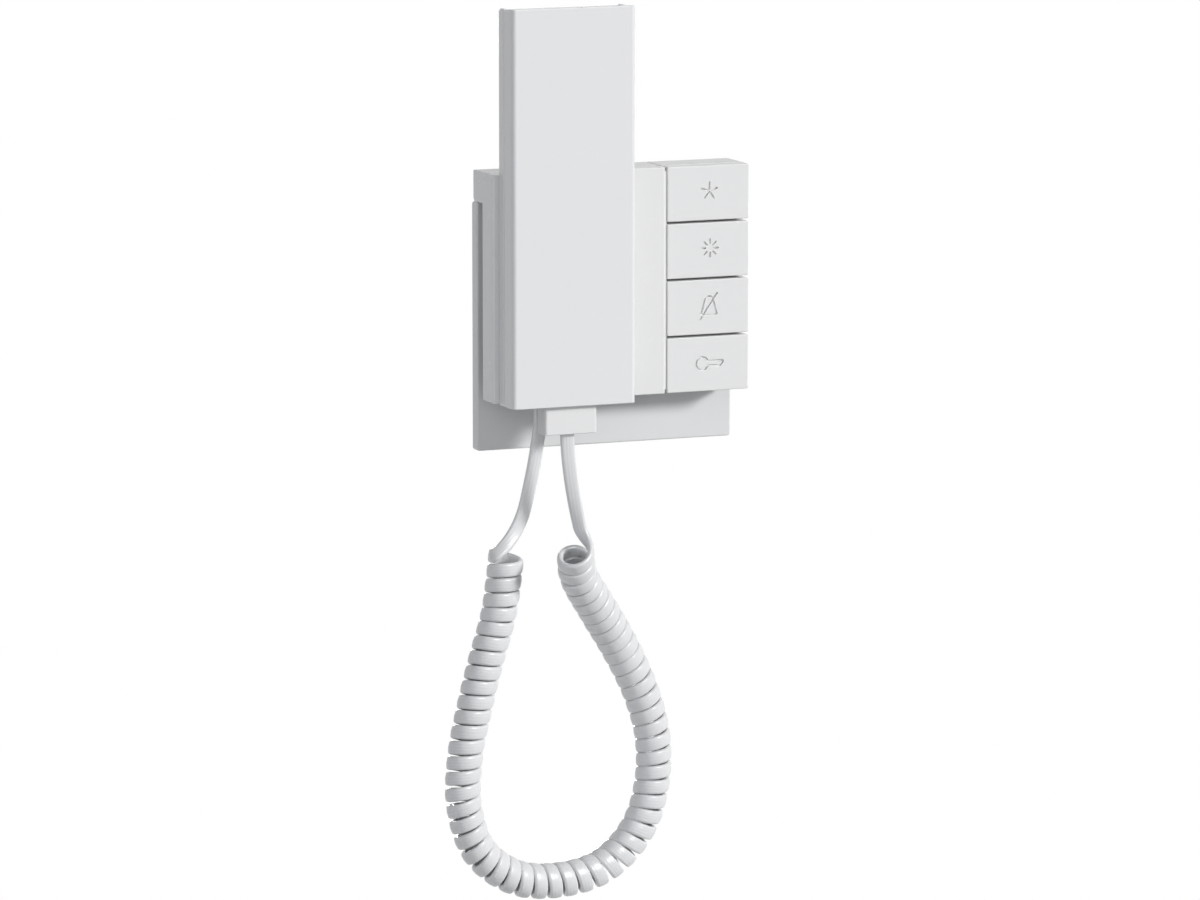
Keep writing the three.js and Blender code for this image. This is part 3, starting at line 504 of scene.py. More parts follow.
WHITE: Colour = (0.80, 0.80, 0.798)
WHITE_CLOUD: Colour = (0.785, 0.785, 0.785)
FINISHES: tuple[Finish, ...] = (
    MouldedPlastic("frame_gloss", (0.745, 0.748, 0.748), (0.725, 0.729, 0.731), 0.34),
    MouldedPlastic("cover_gloss", WHITE, WHITE_CLOUD, 0.29),
    MouldedPlastic("button_gloss", (0.80, 0.80, 0.797), (0.787, 0.787, 0.786), 0.28),
    MouldedPlastic("handset_gloss", (0.80, 0.80, 0.804), (0.785, 0.785, 0.79), 0.27),
    MouldedPlastic(
        "cord_block_satin", (0.79, 0.79, 0.787), (0.772, 0.772, 0.77), 0.48, grain_depth=0.01 * MM
    ),
    MouldedPlastic("white_satin", (0.74, 0.74, 0.735), (0.7, 0.7, 0.695), 0.5, grain_depth=0.014 * MM),
    MouldedPlastic("grey_plastic", (0.3, 0.31, 0.32), (0.26, 0.27, 0.28), 0.52, grain_depth=0.016 * MM),
    MouldedPlastic("black_plastic", (0.028, 0.028, 0.03), (0.045, 0.045, 0.048), 0.42, grain_depth=0.01 * MM),
    MouldedPlastic("black_rubber", (0.03, 0.03, 0.031), (0.055, 0.055, 0.055), 0.78, grain_depth=0.03 * MM),
    CircuitBoard("circuit_board"),
    CellFoam("grey_foam"),
    SwitchGlass("switch_glass"),
    CordVinyl("cord_white", (0.755, 0.759, 0.763), (0.695, 0.702, 0.709), 0.34),
    PlatedSteel("steel"),
)


class Palette:
    """Every finish by its slot name, built when it is first asked for."""

    def __init__(self, finishes: Iterable[Finish]) -> None:
        """Note the finishes."""
        self.finishes = {finish.slot: finish for finish in finishes}
        self.made: dict[str, bpy.types.Material] = {}

    def __getitem__(self, slot: str) -> bpy.types.Material:
        """The material of one slot.

        Args:
            slot: the slot's name.

        Returns:
            The material.
        """
        if slot not in self.made:
            self.made[slot] = self.finishes[slot].material()
        return self.made[slot]


PALETTE = Palette(FINISHES)
REPLACED: set[str] = set()


# ---- Mesh building ------------------------------------------------------------------------------


class Shape:
    """A closed mesh in the making, shaped by bmesh operators and by cutting with other shapes."""

    def __init__(self, mesh: bmesh.types.BMesh) -> None:
        """Take a bmesh."""
        self.mesh = mesh

    @classmethod
    def block(cls, low: Point, high: Point) -> "Shape":
        """A box.

        Args:
            low: its lowest corner.
            high: its highest corner.

        Returns:
            The box.
        """
        mesh = bmesh.new()
        bmesh.ops.create_cube(mesh, size=1.0)
        low, high = Vector(low), Vector(high)
        bmesh.ops.scale(mesh, vec=high - low, verts=mesh.verts)
        bmesh.ops.translate(mesh, vec=(low + high) / 2, verts=mesh.verts)
        return cls(mesh)

    @classmethod
    def rod(
        cls, centre: Point, diameter: float, length: float, axis: str = "Y", sides: int = 32
    ) -> "Shape":
        """A cylinder.

        Args:
            centre: its middle.
            diameter: across it.
            length: along it.
            axis: the axis it runs along, Y or Z.
            sides: how many faces it has round it.

        Returns:
            The cylinder.
        """
        mesh = bmesh.new()
        radius = diameter / 2
        bmesh.ops.create_cone(
            mesh, cap_ends=True, segments=sides, radius1=radius, radius2=radius, depth=length
        )
        if axis == "Y":
            bmesh.ops.rotate(mesh, matrix=Matrix.Rotation(math.pi / 2, 3, "X"), verts=mesh.verts)
        bmesh.ops.translate(mesh, vec=Vector(centre), verts=mesh.verts)
        return cls(mesh)

    @classmethod
    def prism(cls, outline: Sequence[Point], along: Point) -> "Shape":
        """A flat outline drawn out.

        Args:
            outline: its corners in order.
            along: how far, and which way, it is drawn out.

        Returns:
            The prism.
        """
        mesh = bmesh.new()
        face = mesh.faces.new([mesh.verts.new(point) for point in outline])
        made = bmesh.ops.extrude_face_region(mesh, geom=[face])["geom"]
        moved = [part for part in made if isinstance(part, bmesh.types.BMVert)]
        bmesh.ops.translate(mesh, vec=Vector(along), verts=moved)
        bmesh.ops.recalc_face_normals(mesh, faces=mesh.faces)
        return cls(mesh)

    @classmethod
    def arc(
        cls, centre: Point, radius: float, width: float, depth: float, start: float, sweep: float
    ) -> "Shape":
        """A curved bar that lies flat across Y.

        Args:
            centre: the middle of its circle, halfway through its depth.
            radius: to the middle of the bar.
            width: of the bar.
            depth: of the bar along Y.
            start: the angle it starts at from +X towards +Z, in degrees.
            sweep: how far it goes round, in degrees.

        Returns:
            The bar.
        """
        degrees_per_step, fewest_steps = 9, 6
        mesh = bmesh.new()
        corners = [(-1, -1), (1, -1), (1, 1), (-1, 1)]
        turn = Matrix.Rotation(-math.radians(start), 3, "Y")
        middle = Vector(centre)
        points = [turn @ Vector((radius + a * width / 2, b * depth / 2, 0)) + middle for a, b in corners]
        face = mesh.faces.new([mesh.verts.new(point) for point in points])
        bmesh.ops.spin(
            mesh,
            geom=[face, *face.edges, *face.verts],
            cent=middle,
            axis=(0, -1, 0),
            angle=math.radians(sweep),
            steps=max(fewest_steps, round(abs(sweep) / degrees_per_step)),
            use_duplicate=False,
        )
        bmesh.ops.remove_doubles(mesh, verts=mesh.verts, dist=1e-7)
        bmesh.ops.recalc_face_normals(mesh, faces=mesh.faces)
        return cls(mesh)

    def turned(self, angle: float, axis: str, centre: Point) -> "Shape":
        """Turn the shape.

        Args:
            angle: how far, in degrees.
            axis: the axis that it turns about.
            centre: a point on that axis.

        Returns:
            The same shape.
        """
        matrix = Matrix.Rotation(math.radians(angle), 3, axis)
        bmesh.ops.rotate(self.mesh, cent=Vector(centre), matrix=matrix, verts=self.mesh.verts)
        return self

    def rounded(self, radius: float, segments: int, chosen: EdgeTest) -> "Shape":
        """Round the chosen edges.

        Args:
            radius: of the rounding.
            segments: faces across it.
            chosen: tells which edges are rounded.

        Returns:
            The same shape.
        """
        edges = [edge for edge in self.mesh.edges if chosen(edge)]
        bmesh.ops.bevel(
            self.mesh,
            geom=edges,
            offset=radius,
            offset_type="OFFSET",
            affect="EDGES",
            segments=segments,
            profile=0.5,
            material=-1,
            clamp_overlap=False,
        )
        return self

    def object(self, name: str) -> bpy.types.Object:
        """Turn the shape into an object at the origin.

        Args:
            name: the object's name.

        Returns:
            The object. The shape is used up.
        """
        data = bpy.data.meshes.new(name)
        self.mesh.to_mesh(data)
        self.mesh.free()
        made = bpy.data.objects.new(name, data)
        bpy.context.scene.collection.objects.link(made)
        return made

    def worked(self, operation: str, tools: Iterable["Shape"]) -> "Shape":
        """Join other shapes to this one, or cut them from it.

        Args:
            operation: UNION or DIFFERENCE.
            tools: the other shapes, which are used up.

        Returns:
            A new shape.
        """
        body = self.object("work")
        spent = [tool.object("tool") for tool in tools]
        for tool in spent:
            modifier = body.modifiers.new("work", "BOOLEAN")
            modifier.operation = operation
            modifier.solver = "MANIFOLD"
            modifier.object = tool
        graph = bpy.context.evaluated_depsgraph_get()
        result = bpy.data.meshes.new_from_object(body.evaluated_get(graph))
        mesh = bmesh.new()
        mesh.from_mesh(result)
        bpy.data.meshes.remove(result)
        for used in [body, *spent]:
            data = used.data
            bpy.data.objects.remove(used)
            bpy.data.meshes.remove(data)
        return Shape(mesh)

    def cut(self, *tools: "Shape") -> "Shape":
        """Cut shapes away."""
        return self.worked("DIFFERENCE", tools)

    def joined(self, *tools: "Shape") -> "Shape":
        """Join shapes on."""
        return self.worked("UNION", tools)


# An edge is an outside corner from this angle, and on a plane within this distance of it.
CORNER_ANGLE = math.radians(50)
TOUCHING = 0.001 * MM


def sharp(edge: bmesh.types.BMEdge) -> bool:
    """Whether an edge is an outside corner."""
    return len(edge.link_faces) == 2 and edge.calc_face_angle_signed() > CORNER_ANGLE


def all_at(edge: bmesh.types.BMEdge, axis: int, value: float) -> bool:
    """Whether both ends of an edge have one value of one coordinate."""
    return all(abs(vert.co[axis] - value) < TOUCHING for vert in edge.verts)


def along(axis: int) -> EdgeTest:
    """A test for outside corners that run along one axis.

    Args:
        axis: 0, 1 or 2 for X, Y or Z.

    Returns:
        The test.
    """

    def test(edge: bmesh.types.BMEdge) -> bool:
        """Whether one edge does."""
        run = edge.verts[1].co - edge.verts[0].co
        return sharp(edge) and abs(run[axis]) > 0.999 * run.length

    return test


def on_plane(axis: int, value: float) -> EdgeTest:
    """A test for outside corners that lie in the plane where one coordinate has a value."""
    return lambda edge: sharp(edge) and all_at(edge, axis, value)


def both(first: EdgeTest, second: EdgeTest) -> EdgeTest:
    """A test that passes where two tests do."""
    return lambda edge: first(edge) and second(edge)


def either(first: EdgeTest, second: EdgeTest) -> EdgeTest:
    """A test that passes where one of two tests does."""
    return lambda edge: first(edge) or second(edge)


def middle_of(node: str) -> Vector:
    """The middle of a node's box."""
    low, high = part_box(node)
    return (low + high) / 2


def frame_slot(node: str) -> str:
    """The material slot that the record gives a node."""
    return next(part["material_slot"] for part in frame["record"]["subparts"] if part["node"] == node)


@dataclass
class Piece:
    """A finished piece: its name, what it rides on, its slot and the nodes that it stands for."""

    name: str
    body: str
    slot: str
    nodes: tuple[str, ...]
    edge: float = 0.08 * MM
    smooth_below: float = 38.0
    crease_above: float = 60.0

    def place(self, shape: Shape) -> bpy.types.Object:
        """Make the object, soften its last sharp edges, dress it and fix it to its body.

        Args:
            shape: the piece's shape, which is used up.

        Returns:
            The object.
        """
        made = shape.object(self.name)
        made.data.materials.append(PALETTE[self.slot])
        made.data.shade_smooth()
        bevel = made.modifiers.new("edges", "BEVEL")
        bevel.width = self.edge
        bevel.segments = 2
        bevel.limit_method = "ANGLE"
        bevel.angle_limit = math.radians(self.smooth_below)
        bevel.use_clamp_overlap = True
        bevel.miter_outer = "MITER_ARC"
        normals = made.modifiers.new("flats", "WEIGHTED_NORMAL")
        normals.keep_sharp = True
        made.data.set_sharp_from_angle(angle=math.radians(self.crease_above))
        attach(made, self.body)
        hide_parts(*self.nodes)
        REPLACED.update(self.nodes)
        LOG.info("%s: %d faces, on %s", self.name, len(made.data.polygons), self.body)
        return made


# ---- The wall fixing ----------------------------------------------------------------------------


@dataclass
class WallFrame:
    """The square frame that lies on the wall round the wall box, with the opening for the insert."""

    edge_radius: float = 0.65 * MM
    corner_radius: float = 1.1 * MM
    opening: float = 50 * MM
    opening_radius: float = 0.8 * MM
    rebate: float = 70.6 * MM
    rebate_depth: float = 1.8 * MM

    def build(self) -> bpy.types.Object:
        """Build and dress the frame.

        Returns:
            The object.
        """
        low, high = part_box("wall_frame")
        plate = Shape.block(low, high)
        plate.rounded(self.corner_radius, 4, along(1))
        plate.rounded(self.edge_radius, 5, on_plane(1, low.y))
        half, seat = self.opening / 2, self.rebate / 2
        through = Shape.block((-half, low.y - OVER, -half), (half, high.y + OVER, half))
        through.rounded(self.opening_radius, 3, along(1))
        back = Shape.block((-seat, high.y - self.rebate_depth, -seat), (seat, high.y + OVER, seat))
        piece = Piece("wall_frame_moulding", "base", "frame_gloss", ("wall_frame",), edge=0.15 * MM)
        return piece.place(plate.cut(through, back))


@dataclass
class WallBracket:
    """The pressed steel plate that is screwed to the wall box."""

    corner_radius: float = 3 * MM
    slot_reach: float = 30 * MM
    slot_width: float = 4 * MM
    slot_height: float = 9 * MM
    fixing_offset: float = 20 * MM
    tapped: float = 3.2 * MM
    tapped_length: float = 4 * MM
    window_half: float = 12 * MM
    window: tuple[float, float] = (-20 * MM, -6 * MM)
    window_radius: float = 1.5 * MM

    def slot(self, side: int) -> Shape:
        """A slot with round ends for a wall box screw.

        Args:
            side: -1 for the left one, 1 for the right one.

        Returns:
            The shape to cut away.
        """
        low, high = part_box("wall_bracket")
        x, half, tall = side * self.slot_reach, self.slot_width / 2, self.slot_height / 2
        tool = Shape.block((x - half, low.y - OVER, -tall), (x + half, high.y + OVER, tall))
        return tool.rounded(half * NEARLY_ROUND, 6, along(1))

    def tapped_hole(self, side: int) -> Shape:
        """A hole for a screw of the insert, on one side of the middle."""
        at = side * self.fixing_offset
        return Shape.rod((at, middle_of("wall_bracket").y, at), self.tapped, self.tapped_length)

    def build(self) -> bpy.types.Object:
        """Build and dress the bracket.

        Returns:
            The object.
        """
        low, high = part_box("wall_bracket")
        plate = Shape.block(low, high)
        plate.rounded(self.corner_radius, 6, along(1))
        (bottom, top), half = self.window, self.window_half
        window = Shape.block((-half, low.y - OVER, bottom), (half, high.y + OVER, top))
        window.rounded(self.window_radius, 5, along(1))
        slots = [self.slot(side) for side in (-1, 1)]
        holes = [self.tapped_hole(side) for side in (-1, 1)]
        piece = Piece("wall_bracket_plate", "base", "steel", ("wall_bracket",), edge=0.15 * MM)
        return piece.place(plate.cut(window, *slots, *holes))


# ---- The base -----------------------------------------------------------------------------------


@dataclass
class HoodedMoulding:
    """What the cover and the button housing share: a skirt with a hood back over the frame."""

    wall: float = 1.8 * MM
    hood_height: float = 11.1 * MM
    hood_radius: float = 1.4 * MM
    skirt_back: float = 10.4 * MM
    rim_radius: float = 0.35 * MM
    gap: float = 0.3 * MM
    room_overlap: float = 0.1 * MM
    passage_front: float = -13.9 * MM

    def outside(self, low: Vector, high: Vector, front_edge: float) -> Shape:
        """The outer form.

        Args:
            low: its lowest corner.
            high: its highest corner.
            front_edge: the radius of its upright front edges.

        Returns:
            The form, rounded.
        """
        floor = high.z - self.hood_height
        outline = [
            (low.x, -self.skirt_back, low.z),
            (low.x, low.y, low.z),
            (low.x, low.y, high.z),
            (low.x, high.y, high.z),
            (low.x, high.y, floor),
            (low.x, -self.skirt_back, floor),
        ]
        form = Shape.prism(outline, (high.x - low.x, 0, 0))
        hood_edge = both(on_plane(1, high.y), on_plane(2, floor))
        form.rounded(self.hood_radius, 5, both(along(0), hood_edge))
        form.rounded(front_edge, 4, both(along(2), on_plane(1, low.y)))
        front = either(on_plane(1, low.y), on_plane(2, high.z))
        return form.rounded(self.rim_radius, 3, either(front, on_plane(2, low.z)))

    def room(self, low: Vector, high: Vector, left: float, right: float, front: float) -> list[Shape]:
        """The room inside, behind the front and under the hood.

        Args:
            low: the outer form's lowest corner.
            high: its highest corner.
            left: where the room starts along X.
            right: where it ends.
            front: the Y where it starts.

        Returns:
            The shapes to cut away.
        """
        bottom, top = low.z + self.wall, high.z - self.wall
        floor = high.z - self.hood_height + self.wall
        hood_front = -self.skirt_back - self.room_overlap
        return [
            Shape.block((left, front, bottom), (right, -self.skirt_back + self.gap, top)),
            Shape.block((left, hood_front, floor), (right, high.y + OVER, top)),
        ]


@dataclass
class BaseCover(HoodedMoulding):
    """The cover behind the handset, with its hook, its sound slots and the step at its right edge."""

    front_radius: float = 0.8 * MM
    hook_width: float = 14 * MM
    hook_reach: float = 3.3 * MM
    hook_thickness: float = 3.6 * MM
    hook_drop: float = 22.6 * MM
    hook_root: float = 0.5 * MM
    hook_radius: float = 0.5 * MM
    slot_count: int = 5
    slot_pitch: float = 3 * MM
    slot_width: float = 12 * MM
    slot_height: float = 1.2 * MM
    slot_depth: float = 4 * MM
    step_in_box: float = 0.5 * MM
    step_width: float = 0.68 * MM
    step_sink: float = 0.6 * MM
    step_depth: float = 4.9 * MM
    step_end: float = 1.5 * MM
    head_bore: tuple[float, float] = (5.0 * MM, 3.4 * MM)
    shank_bore: tuple[float, float] = (2.8 * MM, 8 * MM)
    shank_bore_rise: float = 2 * MM
    pad_half: float = 4 * MM
    pad_front: float = -16.4 * MM
    pad_back: float = -12.3 * MM
    pad_root: float = 0.5 * MM
    pad_top: float = 3.6 * MM
    grommet_inset: float = 0.7 * MM

    def hook(self, low: Vector, high: Vector) -> Shape:
        """The hook: a bar that rises outwards at 45 degrees.

        Args:
            low: the cover's lowest corner.
            high: its highest corner.

        Returns:
            The hook.
        """
        left = middle_of("handset_rear_shell").x - self.hook_width / 2
        z, thick = high.z - self.hook_drop, self.hook_thickness / 2
        back, tip = low.y + self.hook_root, low.y - self.hook_reach
        outline = [
            (left, back, z - thick - self.hook_root),
            (left, back, z + thick - self.hook_root),
            (left, tip, z + thick + self.hook_reach),
            (left, tip, z - thick + self.hook_reach),
        ]
        bar = Shape.prism(outline, (self.hook_width, 0, 0))
        return bar.rounded(self.hook_radius, 3, on_plane(1, tip))

    def sound_slots(self, low: Vector) -> list[Shape]:
        """The slots in front of the sounder.

        Args:
            low: the cover's lowest corner.

        Returns:
            The shapes to cut away.
        """
        middle = middle_of("sounder")
        half, tall = self.slot_width / 2, self.slot_height / 2
        near, far = low.y - OVER, low.y + self.slot_depth
        slots = []
        for i in range(self.slot_count):
            z = middle.z + (i - (self.slot_count - 1) / 2) * self.slot_pitch
            tool = Shape.block((middle.x - half, near, z - tall), (middle.x + half, far, z + tall))
            slots.append(tool.rounded(tall * NEARLY_ROUND, 4, along(1)))
        return slots

    def edge_step(self, low: Vector, high: Vector) -> Shape:
        """The step along the right edge that closes the gap to the buttons.

        Args:
            low: the cover's lowest corner.
            high: its highest corner.

        Returns:
            The step.
        """
        return Shape.block(
            (high.x - self.wall, low.y + self.step_sink, low.z + self.step_end),
            (high.x + self.step_width, low.y + self.step_depth, high.z - self.step_end),
        )

    def screw_bore(self, low: Vector) -> list[Shape]:
        """The counterbored hole for the screw in the underside.

        Args:
            low: the cover's lowest corner.

        Returns:
            The shapes to cut away.
        """
        x, y, _ = middle_of("cover_screw")
        head = Shape.rod((x, y, low.z), *self.head_bore, "Z")
        return [head, Shape.rod((x, y, low.z + self.shank_bore_rise), *self.shank_bore, "Z", 24)]

    def screw_pad(self, low: Vector) -> Shape:
        """The pad that the screw bears on.

        Args:
            low: the cover's lowest corner.

        Returns:
            The pad.
        """
        x = middle_of("cover_screw").x
        return Shape.block(
            (x - self.pad_half, self.pad_front, low.z + self.pad_root),
            (x + self.pad_half, self.pad_back, low.z + self.pad_top),
        )

    def cord_hole(self, low: Vector) -> Shape:
        """The hole for the cord's grommet.

        Args:
            low: the cover's lowest corner.

        Returns:
            The shape to cut away.
        """
        near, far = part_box("base_cord_grommet")
        return Shape.block(
            (near.x + self.grommet_inset, near.y, low.z - OVER),
            (far.x - self.grommet_inset, far.y, low.z + self.wall + OVER),
        )

    def build(self) -> bpy.types.Object:
        """Build and dress the cover.

        Returns:
            The object.
        """
        low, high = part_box("base_cover")
        low.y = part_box("button_cap_1")[0].y
        high.x -= self.step_in_box
        form = self.outside(low, high, self.front_radius)
        left, right = low.x + self.wall, high.x - self.wall
        shell = form.cut(*self.room(low, high, left, right, low.y + self.wall))
        shell = shell.cut(*self.room(low, high, right - OVER, high.x + OVER, self.passage_front))
        shell = shell.joined(self.screw_pad(low), self.hook(low, high), self.edge_step(low, high))
        shell = shell.cut(*self.screw_bore(low), *self.sound_slots(low), self.cord_hole(low))
        return Piece("base_cover_moulding", "base", "cover_gloss", ("base_cover",)).place(shell)


class Symbol(Enum):
    """What a button's engraving shows."""

    STAR = "star"
    LIGHT = "light"
    MUTED_BELL = "muted_bell"
    KEY = "key"


@dataclass
class Engraver:
    """Cutters for the symbols, drawn on the front face with X to the right and Z up."""

    front: float
    line: float = 0.68 * MM
    line_end: float = 0.96
    depth: float = 0.8 * MM
    arm: float = 3.1 * MM
    rays: tuple[float, float] = (1.75 * MM, 3.15 * MM)
    bell_dome: float = 1.75 * MM
    bell_foot: float = 3.1 * MM
    bell_shoulder: float = 1.6 * MM
    bell_rim: float = -3.1 * MM
    rim_sag: float = 0.35 * MM
    rim_radius: float = 14.35 * MM
    rim_sweep: float = 25.0
    slash_start: tuple[float, float] = (-3.3 * MM, -4.9 * MM)
    slash_end: tuple[float, float] = (3.15 * MM, 4.4 * MM)
    key_bow: float = 2.35 * MM
    key_neck: float = 0.85 * MM
    key_reach: float = 8 * MM
    key_nose: tuple[float, float] = (0.15 * MM, 0.2 * MM)
    key_heel: float = 0.9 * MM

    def stroke(self, start: Point, end: Point) -> Shape:
        """A straight line with round ends.

        Args:
            start: one end of it on the face.
            end: its other end.

        Returns:
            The cutter.
        """
        a, b = Vector((start[0], 0, start[1])), Vector((end[0], 0, end[1]))
        half, length = self.line / 2, (b - a).length
        tool = Shape.block((-half, self.front - OVER, -half), (length + half, self.front + self.depth, half))
        tool.rounded(half * self.line_end, 3, along(1))
        tool.turned(-math.degrees(math.atan2(b.z - a.z, b.x - a.x)), "Y", (0, 0, 0))
        bmesh.ops.translate(tool.mesh, vec=a, verts=tool.mesh.verts)
        return tool

    def bend(self, centre: Point, radius: float, start: float, sweep: float) -> Shape:
        """A curved line.

        Args:
            centre: the middle of its circle on the face.
            radius: of its circle.
            start: the angle it starts at, in degrees.
            sweep: how far it goes round, in degrees.

        Returns:
            The cutter.
        """
        depth = OVER + self.depth
        middle = (centre[0], self.front - OVER + depth / 2, centre[1])
        return Shape.arc(middle, radius, self.line, depth, start, sweep)

    @staticmethod
    def spread(count: int, first: float) -> list[tuple[float, float]]:
        """Directions spread evenly all round, from the first one's angle in degrees."""
        angles = [math.radians(first) + math.tau * i / count for i in range(count)]
        return [(math.cos(angle), math.sin(angle)) for angle in angles]

    def star(self, x: float, z: float) -> list[Shape]:
        """Five arms from one point."""
        return [self.stroke((x, z), (x + self.arm * c, z + self.arm * s)) for c, s in self.spread(5, 90)]

    def light(self, x: float, z: float) -> list[Shape]:
        """Eight short rays about a point."""
        ends = [[(x + reach * c, z + reach * s) for reach in self.rays] for c, s in self.spread(8, 0)]
        return [self.stroke(start, end) for start, end in ends]

    def muted_bell(self, x: float, z: float) -> list[Shape]:
        """A bell's outline with a slash.

        Args:
            x: its middle along X.
            z: its middle along Z.

        Returns:
            The cutters.
        """
        shoulder, rim = z + self.bell_shoulder, z + self.bell_rim
        sides = [
            self.stroke((x + side * self.bell_dome, shoulder), (x + side * self.bell_foot, rim))
            for side in (-1, 1)
        ]
        (left, bottom), (right, top) = self.slash_start, self.slash_end
        lowest = -90 - self.rim_sweep / 2
        return [
            self.bend((x, shoulder), self.bell_dome, 0, 180),
            *sides,
            self.bend((x, rim + self.rim_radius - self.rim_sag), self.rim_radius, lowest, self.rim_sweep),
            self.stroke((x + left, z + bottom), (x + right, z + top)),
        ]

    def key(self, x: float, z: float) -> list[Shape]:
        """A key's bow, and its shaft with a slanted tip.

        Args:
            x: the middle of its bow along X.
            z: its middle along Z.

        Returns:
            The cutters.
        """
        opening = math.degrees(math.asin(self.key_neck / self.key_bow))
        start = x + self.key_bow * math.cos(math.radians(opening))
        upper, lower = z + self.key_neck, z - self.key_neck
        tip = x + self.key_reach
        nose, heel = (tip + self.key_nose[0], z + self.key_nose[1]), (tip - self.key_heel, lower)
        return [
            self.bend((x, z), self.key_bow, opening, 360 - 2 * opening),
            self.stroke((start, upper), (tip, upper)),
            self.stroke((start, lower), heel),
            self.stroke((tip, upper), nose),
            self.stroke(nose, heel),
        ]

    def draw(self, symbol: Symbol, x: float, z: float) -> list[Shape]:
        """The cutters for one symbol at a place on the face."""
        return getattr(self, symbol.value)(x, z)


@dataclass
class ButtonCap:
    """One push button: a shallow cup with an engraved symbol, a press boss and two latch legs."""

    number: int
    symbol: Symbol
    symbol_place: tuple[float, float]
    wall: float = 1.4 * MM
    edge_radius: float = 0.4 * MM
    corner_radius: float = 0.45 * MM
    boss: float = 6 * MM
    boss_play: float = 0.3 * MM
    root: float = 0.1 * MM
    leg_offset: float = 11 * MM
    leg_thickness: float = 1.4 * MM
    leg_width: float = 5 * MM
    leg_lip: float = 1.2 * MM
    lip_root: float = 0.2 * MM
    gap_trim: float = 0.07 * MM
    latch: float = -13.9 * MM
    back: float = -15.8 * MM

    def leg(self, middle: Vector, side: int, front: float, back: float) -> list[Shape]:
        """A latch leg with the lip that holds it behind the housing.

        Args:
            middle: the cap's middle.
            side: -1 for the left leg, 1 for the right one.
            front: the Y where it starts.
            back: the Y where it ends.

        Returns:
            The leg and its lip.
        """
        outer = self.leg_offset + self.leg_thickness
        half = self.leg_width / 2
        bars = []
        for start, end, face in (
            (self.leg_offset, outer, front),
            (outer - self.lip_root, outer + self.leg_lip, self.latch),
        ):
            left, right = sorted((middle.x + side * start, middle.x + side * end))
            bars.append(Shape.block((left, face, middle.z - half), (right, back, middle.z + half)))
        return bars

    def build(self) -> bpy.types.Object:
        """Build and dress the cap.

        Returns:
            The object.
        """
        node = f"button_cap_{self.number}"
        low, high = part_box(node)
        top = Vector((high.x, self.back, high.z))
        middle = (low + top) / 2
        trim = Vector((0, 0, self.gap_trim))
        cup = Shape.block(low + trim, top - trim)
        cup.rounded(self.corner_radius, 3, along(1))
        cup.rounded(self.edge_radius, 4, on_plane(1, low.y))
        wall = Vector((self.wall, self.wall, self.wall))
        room_end = (top.x - self.wall, self.back + OVER, top.z - self.wall)
        cup = cup.cut(Shape.block(low + wall, room_end))
        floor = low.y + self.wall - self.root
        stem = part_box(f"switch_stem_{self.number}")[0].y - self.boss_play
        boss = Shape.rod((middle.x, (floor + stem) / 2, middle.z), self.boss, stem - floor)
        legs = [part for side in (-1, 1) for part in self.leg(middle, side, floor, high.y)]
        cup = cup.joined(boss, *legs)
        x, z = self.symbol_place
        cup = cup.cut(*Engraver(low.y).draw(self.symbol, middle.x + x, middle.z + z))
        body = f"button_{self.number}"
        return Piece(f"{body}_cap", body, "button_gloss", (node,), edge=0.07 * MM).place(cup)


@dataclass
class ButtonHousing(HoodedMoulding):
    """The housing behind the buttons, with windows for each switch and for each latch leg."""

    front_radius: float = 0.5 * MM
    plate: float = 1.0 * MM
    left_wall: float = 1.5 * MM
    switch_window: float = 7.2 * MM
    leg_window: tuple[float, float] = (2 * MM, 5.6 * MM)
    leg_place: float = 11.7 * MM
    window_depth: float = 3 * MM

    def window(self, x: float, z: float, width: float, height: float, front: float) -> Shape:
        """A window.

        Args:
            x: its middle along X.
            z: its middle along Z.
            width: along X.
            height: along Z.
            front: the Y of the plate's front.

        Returns:
            The shape to cut away.
        """
        half, tall = width / 2, height / 2
        back = front + self.window_depth
        return Shape.block((x - half, front - OVER, z - tall), (x + half, back, z + tall))

    def build(self) -> bpy.types.Object:
        """Build and dress the housing.

        Returns:
            The object.
        """
        low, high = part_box("button_housing")
        form = self.outside(low, high, self.front_radius)
        left, right = low.x + self.left_wall, high.x - self.wall
        shell = form.cut(*self.room(low, high, left, right, low.y + self.plate))
        shell = shell.cut(*self.room(low, high, low.x - OVER, left + OVER, self.passage_front))
        windows = []
        for number in (1, 2, 3, 4):
            x, _, z = middle_of(f"switch_body_{number}")
            windows.append(self.window(x, z, self.switch_window, self.switch_window, low.y))
        for number in (1, 2, 3, 4):
            x, _, z = middle_of(f"button_cap_{number}")
            for side in (-1, 1):
                windows.append(self.window(x + side * self.leg_place, z, *self.leg_window, low.y))
        shell = shell.cut(*windows)
        return Piece("button_housing_moulding", "base", "cover_gloss", ("button_housing",)).place(shell)


